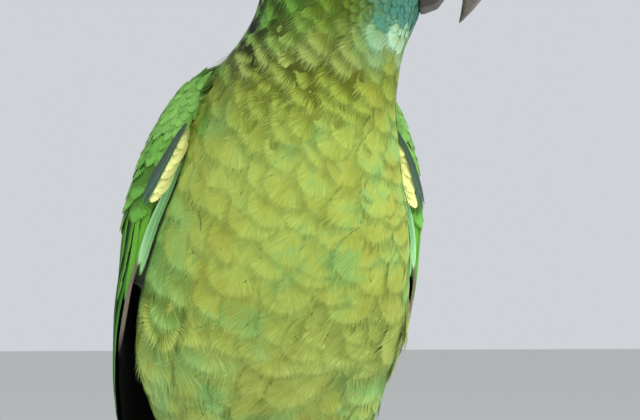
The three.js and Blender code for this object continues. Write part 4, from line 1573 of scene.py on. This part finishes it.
        vane = Vane(24, widest=0.8, base=1.0, blunt=4.0, fray=0.0)
        coat.add(vane, shaped, np.zeros((1, 4)), np.full((1, 2), 0.5), SHADE_LINING)

    def build(self, small: Material, large: Material) -> None:
        """Build the covert rows and the long feathers as two pieces."""
        name = self.side.name.lower()
        rows = Coat(f"{name}_wing_coverts", self.rng)
        for tract in self.tracts:
            self._rows(rows, tract)
        dress(rows.build(), small, "wing_coverts")
        long = Coat(f"{name}_wing_quills", self.rng)
        self._shade_lining(long)
        for row in self.quills:
            self._row_of_quills(long, row)
        dress(long.build(), large, "flight_feathers", f"wing_{name}_secondaries", f"wing_{name}_primaries")


@dataclass
class Tail:
    """Twelve tail feathers stacked under the middle pair."""

    rng: np.random.Generator
    half: float = 7.2
    pairs: int = 6
    spread: float = 0.29
    step: float = 0.28

    def build(self, material: Material) -> None:
        """Lay the feathers from the outer pair to the middle pair."""
        sheet = tail_sheet()
        low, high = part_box("tail_feathers")
        coat = Coat("tail_vanes", self.rng)
        vane = Vane(26, widest=0.7, base=0.45, blunt=2.6, fray=0.12)
        for pair in range(self.pairs):
            for sign in (-1, 1):
                middle = 0.5 + sign * (0.04 + self.spread * pair / (self.pairs - 1))
                tip = low[2] + (0.6 + 6.0 * (pair / (self.pairs - 1)) ** 2) * MM
                level = -(0.1 + self.step * pair + 0.1 * (sign > 0)) * MM

                def shaped(across: Array, along: Array) -> Spots:
                    """Places of the feather's vertices."""
                    height = high[2] + 4 * MM + (tip - high[2] - 4 * MM) * along
                    spot = 0.5 + (middle - 0.5) * (0.35 + 0.65 * along)
                    aside = across * np.where(across * sign > 0, 0.75, 1.0) * self.half * MM
                    lift = level - 0.35 * MM * np.abs(across) ** 1.6
                    return sheet.at(spot + aside / sheet.breadth(height), height, lift)

                def painter(off: Array, along: Array) -> Array:
                    """Colours of both webs."""
                    return (TAIL_MIDDLE if pair < 2 else TAIL_SIDE)(-off * sign, along)

                unwrap = np.array([[0.5 + sign * (0.05 + 0.07 * pair), 0.9 - 0.1 * pair]])
                # The alpha sets a little painted shade on the bases of the tail feathers.
                coat.add(vane, shaped, np.array([[0, 0, 0, 0.2]]), unwrap, painter)
        dress(coat.build(), material, "tail_feathers", "tail_feathers")


# ---- eyes, bill and cere
@dataclass(frozen=True)
class EyeFinish:
    """Amber iris with fine spokes round a black pupil, under a clear wet coat."""

    pupil: Colour = rgb("#030303")
    inner: Colour = rgb("#8a3d12")
    amber: Colour = rgb("#e0701e")
    rim: Colour = rgb("#5a2108")
    white: Colour = rgb("#1c1512")

    def build(self) -> Material:
        """Material for a ball that carries the turn attribute, in radians off the pupil."""
        p = Painter("eyeball")
        turn = p.attribute("turn")
        spokes = p.noise(1400, 3, roughness=0.7)
        iris = p.mix(p.step(turn + (spokes - 0.5) * 0.2, 0.36, 0.62), self.inner, self.amber)
        iris = p.mix(p.step(turn, 0.66, 0.78) * 0.8, iris, self.rim)
        colour = p.mix(p.step(turn, 0.335, 0.365), self.pupil, iris)
        colour = p.mix(p.step(turn, 0.77, 0.82), colour, self.white)
        return p.finish(colour, 0.12 + spokes * 0.1, Coat_Weight=1.0, Coat_Roughness=0.02, Coat_IOR=1.38)


@dataclass(frozen=True)
class BareSkinFinish:
    """Bare grey skin with fine pebbling, with painted shade in its folds."""

    name: str
    light: Colour
    dark: Colour
    pebbles: float
    fold: Colour = rgb("#1d1a18")

    def build(self) -> Material:
        """Material for a surface that carries the fold attribute, where shade is painted."""
        p = Painter(self.name)
        edge = {"feature": "DISTANCE_TO_EDGE"}
        cells = p.node("ShaderNodeTexVoronoi", edge, Vector=p.place(), Scale=self.pebbles)
        pebble = p.step(p.wire(cells), 0.0, 0.22)
        mottle = p.noise(self.pebbles / 4, 3)
        colour = p.mix(pebble * 0.7 + mottle * 0.3, self.dark, self.light)
        # Painted shade in the folds and dents.
        colour = p.mix(p.attribute("fold") * 0.85, colour, self.fold)
        normal = p.bump(pebble + mottle * 0.5, 0.5, 0.0002)
        return p.finish(colour, 0.5 + mottle * 0.2, Normal=normal, Specular_IOR_Level=0.4)


@dataclass(frozen=True)
class HornFinish:
    """Horn with growth lines, darker towards its tip."""

    name: str
    base: Colour
    tip: Colour
    edge: Colour
    flake: Colour = rgb("#d8cfb4")

    def build(self) -> Material:
        """Material for horn that carries the reach attribute, 0 at its root and 1 at its tip."""
        p = Painter(self.name)
        reach = p.attribute("reach")
        streak = p.noise(160, 4, roughness=0.65)
        lines = (reach * 130 + streak * 14).sine()
        colour = p.mix(p.step(reach + (streak - 0.5) * 0.5, 0.1, 0.62), self.base, self.tip)
        colour = p.mix(p.step(reach + (streak - 0.5) * 0.2, 0.8, 1.0) * 0.7, colour, self.edge)
        colour = p.mix(p.step(streak, 0.52, 0.75) * 0.35, colour, self.edge)
        flakes = p.step(p.noise(900, 3), 0.6, 0.75)
        colour = p.mix(flakes * 0.18, colour, self.flake)
        normal = p.bump(lines * 0.35 + streak * 2 + flakes * 0.4, 0.3, 0.0002)
        roughness = 0.3 + streak * 0.22 + flakes * 0.15
        return p.finish(colour, roughness, Normal=normal, Coat_Weight=0.25, Coat_Roughness=0.2)


@dataclass
class Eye:
    """One eye: the ball, and the ring of bare skin whose inner rim is the lids."""

    side: Side
    form: BVHTree
    opening: float = 4.3 * MM
    ring: float = 7.6 * MM
    sunk: float = 0.5 * MM
    TUBE = 0.4

    def build(self, ball_finish: Material, ring_finish: Material) -> None:
        """Build the ball and the ring."""
        name = f"eye_{self.side.name.lower()}"
        low, high = (np.array(corner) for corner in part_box(name))
        axis = unit_rows(HEAD.side * self.side.value + HEAD.forward * 0.1)
        radius = (high[2] - low[2]) / 2
        centre = (low + high) / 2 - axis * self.sunk
        deselect()
        turned = Vector(axis).to_track_quat("Z", "Y").to_euler()
        bpy.ops.mesh.primitive_uv_sphere_add(
            segments=72, ring_count=48, radius=radius, location=centre, rotation=turned
        )
        ball = bpy.context.object
        ball.name = name + "_ball"
        apply_place()
        bpy.ops.object.shade_smooth()
        turn = np.arccos(np.clip(unit_rows(vertices(ball) - centre) @ axis, -1, 1))
        displace(ball, 0.3 * MM * np.clip(1 - (turn / 0.8) ** 2, 0, 1))
        mark(ball, "turn", turn)
        dress(ball, ball_finish, "eye", name)
        self._ring(name, centre, axis, radius, ring_finish)

    def _ring(self, name: str, centre: Array, axis: Array, radius: float, finish: Material) -> None:
        """Ring of bare skin, from the lids' rim down under the face's feathers.

        Args:
            name: of the eye.
            centre: of the ball.
            axis: the way the eye looks.
            radius: of the ball.
            finish: of the ring.
        """
        deselect()
        bpy.ops.mesh.primitive_torus_add(
            major_segments=96, minor_segments=20, major_radius=1.0, minor_radius=self.TUBE
        )
        ring = bpy.context.object
        ring.name = name + "_ring"
        unit = vertices(ring)
        around = np.arctan2(unit[:, 1], unit[:, 0])
        off = np.hypot(unit[:, 0], unit[:, 1]) - 1.0
        share = off / self.TUBE / 2 + 0.5
        first = unit_rows(np.cross(np.array([0, 0, 1.0]), axis))
        second = np.cross(axis, first)
        spoke = np.cos(around)[:, None] * first + np.sin(around)[:, None] * second
        corner = 1 + 0.10 * np.cos(around) ** 2 * np.sign(np.cos(around)) * self.side.value
        wide = self.opening * corner + (self.ring - self.opening) * share
        inner = math.sqrt(radius**2 - self.opening**2) + 0.15 * MM
        outer = []
        for way in spoke:
            start = centre + way * self.ring + axis * 0.02
            hit = self.form.ray_cast(Vector(start), Vector(-axis), 0.03)[0]
            outer.append((np.array(hit) - centre) @ axis - 1.2 * MM if hit else 0.0)
        height = inner + (np.array(outer) - inner) * share**1.3
        fine = np.sin(around * 34 + share * 5) * 0.05 * MM * np.sin(np.pi * np.clip(share, 0, 1))
        height = height + unit[:, 2] / self.TUBE * 0.55 * MM + fine
        points = centre + spoke * wide[:, None] + axis * height[:, None]
        ring.data.vertices.foreach_set("co", points.ravel())
        outward(ring)
        bpy.ops.object.shade_smooth()
        kept = vertices(ring) - centre
        away = norm(kept - (kept @ axis)[:, None] * axis, axis=1)
        # Painted shade where the lids meet the ball.
        mark(ring, "fold", 1 - smooth(away, self.opening, self.opening + 0.9 * MM))
        dress(ring, finish, "grey_skin")


@dataclass
class Bill:
    """Upper and lower bill and the cere with its nostrils."""

    voxel: float = 0.45 * MM
    curl: Pair = (27 * MM, 352 * MM)
    nostril: Point = (27.5 * MM, 4.0 * MM, 377.5 * MM)
    upper_finish: HornFinish = HornFinish("upper_horn", rgb("#b09d74"), rgb("#6a655b"), rgb("#36322c"))
    # Dark horn of the lower bill: darker horn, deepened with painted shade from below.
    lower_finish: HornFinish = HornFinish("lower_horn", rgb("#35322b"), rgb("#292621"), rgb("#171513"))

    def build(self, skin_finish: Material) -> None:
        """Build the three pieces."""
        upper = remeshed("upper_bill_horn", ["upper_bill"], self.voxel, 0.0, 3)
        forward, side, height = HEAD.local(vertices(upper))
        angle = np.arctan2(height - self.curl[1], forward - self.curl[0])
        ridge = np.exp(-((np.abs(side) - 2.2 * MM) / (0.7 * MM)) ** 2) * smooth(angle, 0.2, 0.9)
        displace(upper, 0.25 * MM * ridge)
        mark(upper, "reach", np.clip((1.3 - angle) / 2.2, 0, 1))
        dress(upper, self.upper_finish.build(), "bill_horn", "upper_bill")
        lower = remeshed("lower_bill_horn", ["lower_bill"], self.voxel, 0.0, 3)
        forward, _, _ = HEAD.local(vertices(lower))
        mark(lower, "reach", np.clip((forward - 14 * MM) / (19 * MM), 0, 1))
        dress(lower, self.lower_finish.build(), "bill_horn", "lower_bill")
        cere = remeshed("cere_skin", ["cere"], self.voxel, 0.15 * MM, 3)
        points = vertices(cere)
        _, side, _ = HEAD.local(points)
        dent = np.zeros(len(points))
        for sign in (-1, 1):
            hole = HEAD.place(self.nostril[0], sign * self.nostril[1], self.nostril[2])
            dent += np.exp(-((norm(points - hole, axis=1) / (1.5 * MM)) ** 2))
        seam = np.exp(-((side / (0.6 * MM)) ** 2))
        displace(cere, -1.5 * MM * dent - 0.3 * MM * seam)
        # Painted shade in the nostrils and along the middle seam.
        mark(cere, "fold", np.clip(dent * 1.3 + seam * 0.3, 0, 1))
        dress(cere, skin_finish, "grey_skin", "cere")


# ---- feet, perch and stand
@dataclass(frozen=True)
class BranchLine:
    """Middle line of the branch, which runs level along X, and the branch's radius."""

    y: float
    z: float
    radius: float

    @classmethod
    def found(cls) -> "BranchLine":
        """The line through the box of the perch."""
        low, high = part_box("perch")
        return cls((low[1] + high[1]) / 2, (low[2] + high[2]) / 2, (high[2] - low[2]) / 2)

    def round(self, points: Array) -> tuple[Array, Array]:
        """Distance of points from the line, and their angle round it."""
        y, z = points[:, 1] - self.y, points[:, 2] - self.z
        return np.hypot(y, z), np.arctan2(z, y)


BRANCH = BranchLine.found()


@dataclass
class Foot:
    """One foot: the short leg and its four toes as one scaly skin, and the four claws."""

    side: Side
    voxel: float = 0.55 * MM
    pitch: float = 2.3 * MM

    def build(self, skin_finish: Material, claw_finish: Material) -> None:
        """Build the skin with its scutes, and the claws."""
        name = self.side.name.lower()
        spots = ("inner_front", "outer_front", "inner_back", "outer_back")
        toes, claws = ([f"{part}_{spot}_{name}" for spot in spots] for part in ("toe", "claw"))
        skin = remeshed(f"{name}_foot_skin", [f"tarsus_{name}", *toes], self.voxel, 0.3 * MM, 3)
        points = vertices(skin)
        away, turn = BRANCH.round(points)
        far = away - BRANCH.radius
        along = np.where(far > 8 * MM, points[:, 2], turn * (BRANCH.radius + 4 * MM))
        ridge = np.abs(np.sin(np.pi * along / self.pitch)) ** 0.5
        top = smooth(far, 2.5 * MM, 5 * MM)
        displace(skin, (ridge - 0.75) * 0.32 * MM * top)
        # Painted shade in the grooves between the scutes.
        mark(skin, "fold", smooth(ridge, 0.5, 0.0) * top * 0.6)
        dress(skin, skin_finish, "scaly_skin", f"tarsus_{name}", *toes)
        horn = remeshed(f"{name}_claws_horn", claws, 0.4 * MM, 0.1 * MM, 2)
        below = BRANCH.z + BRANCH.radius - vertices(horn)[:, 2]
        mark(horn, "reach", smooth(below, 0.004, 0.024))
        dress(horn, claw_finish, "claw_horn", *claws)


@dataclass(frozen=True)
class BarkFinish:
    """Grey-brown bark with lichen, and pale end grain with growth rings."""

    brown: Colour = rgb("#4d3b2a")
    grey: Colour = rgb("#8d7559")
    # Colour in the fissures: dark inner bark and painted shade.
    crack: Colour = rgb("#231a12")
    lichen: Colour = rgb("#9aa08a")
    pale_wood: Colour = rgb("#c9a878")
    dark_wood: Colour = rgb("#8f6b42")

    def build(self) -> Material:
        """Material for a branch that carries the fold and bark attributes."""
        p = Painter("branch_bark")
        streak = p.noise(420, 4, p.stretched((0.22, 1, 1)), 0.65)
        lichen = p.step(p.noise(85, 4, roughness=0.6), 0.6, 0.68)
        colour = p.mix(streak, self.brown, self.grey)
        # Dark fissures: darker inner bark, deepened with painted shade.
        colour = p.mix(p.attribute("fold") * 0.8, colour, self.crack)
        colour = p.mix(lichen * 0.55, colour, self.lichen)
        _, y, z = p.parts(p.place())
        off_y, off_z = y - BRANCH.y, z - BRANCH.z
        away = (off_y * off_y + off_z * off_z) ** 0.5
        rings = (away * 5200 + p.noise(120, 2) * 5).sine()
        wood = p.mix(rings * 0.3 + 0.4, self.pale_wood, self.dark_wood)
        colour = p.mix(p.step(p.attribute("bark"), 0.2, 0.6), wood, colour)
        normal = p.bump(streak * 1.5 + rings * 0.1, 0.5, 0.0005)
        return p.finish(colour, 0.8 + streak * 0.15, Normal=normal)


@dataclass
class Perch:
    """Short branch with its bark on and both ends sawn."""

    voxel: float = 0.9 * MM
    knots: tuple[Pair, ...] = ((-0.052, 1.2), (0.058, 2.6), (0.004, 4.1))

    def build(self) -> None:
        """Build the branch with its fissures and knots."""
        log = remeshed("perch_branch", ["perch"], self.voxel, 0.0, 1)
        points = vertices(log)
        away, turn = BRANCH.round(points)
        side = smooth(away, BRANCH.radius * 0.9, BRANCH.radius * 0.97)
        stretched = (points - np.array([0, BRANCH.y, BRANCH.z])) * np.array([0.28, 1, 1])
        fissure = 1 - np.abs(rough(stretched, 260, 4)) * 3
        height = rough(points, 22, 2) * 0.175 - 0.35 * smooth(fissure, 0.3, 1.0)
        for place, angle in self.knots:
            aside = np.angle(np.exp(1j * (turn - angle))) * BRANCH.radius
            off = np.hypot(points[:, 0] - place, aside)
            height += 0.8 * np.exp(-((off / (4.5 * MM)) ** 2)) - 1.04 * np.exp(-((off / (1.8 * MM)) ** 2))
        displace(log, height * MM * side - 0.15 * MM)
        # Fissure mask for the dark inner bark and its painted shade.
        mark(log, "fold", smooth(fissure, 0.2, 0.9) * side)
        mark(log, "bark", side)
        dress(log, BarkFinish().build(), "bark", "perch")


@dataclass(frozen=True)
class WalnutFinish:
    """Polished dark wood with a figured grain and fine pores."""

    dark: Colour = rgb("#2f1c10")
    light: Colour = rgb("#6d4628")
    pore: Colour = rgb("#1c100a")

    def build(self) -> Material:
        """Material of the base, with its grain along X."""
        p = Painter("walnut")
        grain = p.noise(60, 5, p.stretched((0.12, 1, 1)), 0.6)
        _, y, _ = p.parts(p.place())
        figure = (y * 900 + p.noise(9, 2, p.stretched((0.5, 1, 1))) * 34).sine()
        pores = p.step(p.noise(900, 2, p.stretched((0.05, 1, 1))), 0.58, 0.7)
        colour = p.mix(figure * 0.22 + grain * 0.6, self.dark, self.light)
        colour = p.mix(pores * 0.5, colour, self.pore)
        normal = p.bump(pores * -1 + grain, 0.15, 0.0002)
        return p.finish(colour, 0.32 + grain * 0.15, Normal=normal, Coat_Weight=0.35, Coat_Roughness=0.15)


@dataclass(frozen=True)
class SteelFinish:
    """Steel brushed along the rods."""

    dark: Colour = rgb("#8f9396")
    light: Colour = rgb("#b9bcbe")

    def build(self) -> Material:
        """Material of the rods and collars."""
        p = Painter("brushed_steel")
        lines = p.noise(1600, 3, p.stretched((1, 1, 0.04)))
        colour = p.mix(lines, self.dark, self.light)
        return p.finish(colour, 0.24 + lines * 0.16, Normal=p.bump(lines, 0.1, 0.0001), Metallic=1.0)


@dataclass
class Stand:
    """Turned wooden base and two steel rods with collars."""

    edge: float = 2.2 * MM
    groove: float = 9 * MM
    collar: float = 5 * MM
    rim: float = 0.6 * MM
    sharp: float = math.radians(35)

    def build(self) -> None:
        """Build the base and both rods."""
        self._base()
        steel = SteelFinish().build()
        for side in Side:
            self._rod(f"stand_rod_{side.name.lower()}", steel)

    def _base(self) -> None:
        """Round base with a rounded edge and a turned groove."""
        low, high = (Vector(corner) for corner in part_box("stand_base"))
        deselect()
        bpy.ops.mesh.primitive_cylinder_add(
            vertices=160, radius=(high.x - low.x) / 2, depth=high.z - low.z, location=(low + high) / 2
        )
        base = bpy.context.object
        base.name = "stand_base_turned"
        bpy.ops.object.mode_set(mode="EDIT")
        bpy.ops.mesh.select_mode(type="FACE")
        bpy.ops.mesh.select_all(action="DESELECT")
        bpy.ops.object.mode_set(mode="OBJECT")
        top = max(base.data.polygons, key=lambda face: face.center.z)
        top.select = True
        bpy.ops.object.mode_set(mode="EDIT")
        steps = ((self.groove, 0), (0.8 * MM, -0.9 * MM), (0.9 * MM, 0), (0.8 * MM, 0.9 * MM), (3 * MM, 0))
        for inset, drop in steps:
            bpy.ops.mesh.inset(thickness=inset, depth=drop)
        bpy.ops.object.mode_set(mode="OBJECT")
        apply_place()
        corner = math.radians(60)
        apply_modifier(base, "BEVEL", width=self.edge, segments=5, limit_method="ANGLE", angle_limit=corner)
        bpy.ops.object.shade_smooth_by_angle(angle=self.sharp)
        dress(base, WalnutFinish().build(), "stand_wood", "stand_base")

    def _rod(self, name: str, finish: Material) -> None:
        """Steel rod with the collar at its foot."""
        low, high = (Vector(corner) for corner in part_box(name))
        wide = (high.x - low.x) / 2
        centre = (low + high) / 2
        parts = []
        for radius, top in ((wide / 2, high.z), (wide, low.z + self.collar)):
            deselect()
            place = (centre.x, centre.y, (top + low.z) / 2)
            bpy.ops.mesh.primitive_cylinder_add(vertices=64, radius=radius, depth=top - low.z, location=place)
            apply_place()
            apply_modifier(bpy.context.object, "BEVEL", width=self.rim, segments=3, limit_method="ANGLE")
            parts.append(bpy.context.object)
        for part in parts:
            part.select_set(True)
        bpy.ops.object.join()
        rod = bpy.context.object
        rod.name = name + "_turned"
        bpy.ops.object.shade_smooth_by_angle(angle=self.sharp)
        dress(rod, finish, "stand_steel", name)


# ---- camera, light and floor
@dataclass(frozen=True)
class FloorFinish:
    """Pale matt floor."""

    dark: Colour = rgb("#d2d2ce")
    light: Colour = rgb("#dadad6")

    def build(self) -> Material:
        """Material of the floor."""
        p = Painter("floor")
        return p.finish(p.mix(p.noise(60, 3), self.dark, self.light), 0.8)


@dataclass(frozen=True)
class Lamp:
    """One soft round lamp that faces the bird.

    The azimuth is in degrees from straight in front towards the bird's left.
    """

    name: str
    azimuth: float
    elevation: float
    away: float
    size: float
    power: float
    colour: Colour


@dataclass
class Studio:
    """Camera at the bird's right front, soft lights and a pale floor.

    Attributes:
        azimuth: of the camera, in degrees from straight in front towards the bird's left.
        seen_width: how wide a view it has at its distance from the aim.
        sky: colour and strength of the light from all round.
    """

    azimuth: float = -18
    elevation: float = -4
    distance: float = 0.55
    seen_width: float = 0.2048
    aim: Point = (0.0138, -0.0225, 0.2872)
    lamps: tuple[Lamp, ...] = (
        Lamp("key", 34, 50, 2.2, 0.9, 40, (1.0, 0.99, 0.97)),
        Lamp("fill", -75, 22, 2.4, 1.4, 11, (0.97, 0.98, 1.0)),
        Lamp("back", 150, 42, 2.0, 0.9, 24, (1.0, 0.99, 0.96)),
    )
    sky: tuple[Colour, float] = ((0.92, 0.95, 1.0), 0.68)
    SENSOR = 36

    def build(self) -> None:
        """Add the camera, the lights, the world and the floor."""
        self._camera()
        for lamp in self.lamps:
            self._light(lamp)
        self._world()
        self._floor()

    def _face(self, name: str, data: bpy.types.ID, azimuth: float, elevation: float, away: float) -> None:
        """Put a camera or a light at a distance from the aim, facing it."""
        piece = bpy.data.objects.new(name, data)
        round_it, up = math.radians(azimuth), math.radians(elevation)
        level = math.cos(up)
        towards = Vector((math.sin(round_it) * level, -math.cos(round_it) * level, math.sin(up)))
        piece.location = Vector(self.aim) + towards * away
        piece.rotation_euler = (Vector(self.aim) - piece.location).to_track_quat("-Z", "Y").to_euler()
        link(piece)

    def _camera(self) -> None:
        """Camera framed on the breast and belly."""
        data = bpy.data.cameras.new("camera")
        data.sensor_width = self.SENSOR
        data.lens = self.SENSOR * self.distance / self.seen_width
        data.clip_start = 0.01
        self._face("camera", data, self.azimuth, self.elevation, self.distance)
        bpy.context.scene.camera = bpy.data.objects["camera"]

    def _light(self, lamp: Lamp) -> None:
        """One lamp as an area light."""
        data = bpy.data.lights.new(lamp.name, "AREA")
        data.shape = "DISK"
        data.size = lamp.size
        data.energy = lamp.power
        data.color = lamp.colour
        self._face(lamp.name, data, lamp.azimuth, lamp.elevation, lamp.away)

    def _world(self) -> None:
        """Even light from all round."""
        world = bpy.data.worlds.new("studio")
        world.use_nodes = True
        background = world.node_tree.nodes["Background"]
        colour, strength = self.sky
        background.inputs["Color"].default_value = (*colour, 1)
        background.inputs["Strength"].default_value = strength
        bpy.context.scene.world = world
        bpy.context.scene.view_settings.view_transform = "Standard"

    def _floor(self) -> None:
        """Wide pale floor under the stand."""
        deselect()
        bpy.ops.mesh.primitive_plane_add(size=40, location=(0, 0, 0))
        floor = bpy.context.object
        floor.name = "floor"
        floor.data.materials.append(FloorFinish().build())


def main() -> None:
    """Build the bird, its perch, stand and studio."""
    logging.basicConfig(level=logging.INFO, format="%(message)s")
    rng = np.random.default_rng(SEED)
    Studio().build()
    markings = Markings()
    skin = Skin()
    skin.build(markings)
    coat = BodyCoat(skin, markings, rng, node_tree(*skin.wing_nodes))
    body = FeatherFinish("body_vanes").build()
    face = FeatherFinish("head_vanes", rim=0.12, stray=0.5)
    small = FeatherFinish(
        "wing_vanes", edge=0.88, shade=0.3, barb=0.42, stray=0.12, gloss=0.3, shaft=0.16, fringe=1.3
    )
    large = FeatherFinish(
        "quill_vanes", shade=0.1, barb=0.3, barbs=80, stray=0.0, shaft=0.2, gloss=0.05, fringe=0.0
    )
    for piece in coat.trunk():
        dress(piece, body, "body_feathers")
    dress(coat.head(), face.build(), "head_feathers")
    coverts, quills = small.build(), large.build()
    for side in Side:
        Wing(side, rng, skin.tree).build(coverts, quills)
    Tail(rng).build(quills)
    bare = BareSkinFinish("bare_skin", rgb("#9c9890"), rgb("#6b6862"), 1500).build()
    ball = EyeFinish().build()
    for side in Side:
        Eye(side, skin.tree).build(ball, bare)
    Bill().build(bare)
    scaly = BareSkinFinish("scaly_skin", rgb("#a39d92"), rgb("#5d5850"), 1000).build()
    claw = HornFinish("claw_horn", rgb("#5b544b"), rgb("#2b2724"), rgb("#15120f")).build()
    for side in Side:
        Foot(side).build(scaly, claw)
    Perch().build()
    Stand().build()
    dress(coat.thighs(), body, "body_feathers")
    skin.discard_form()


if __name__ == "__main__":
    main()
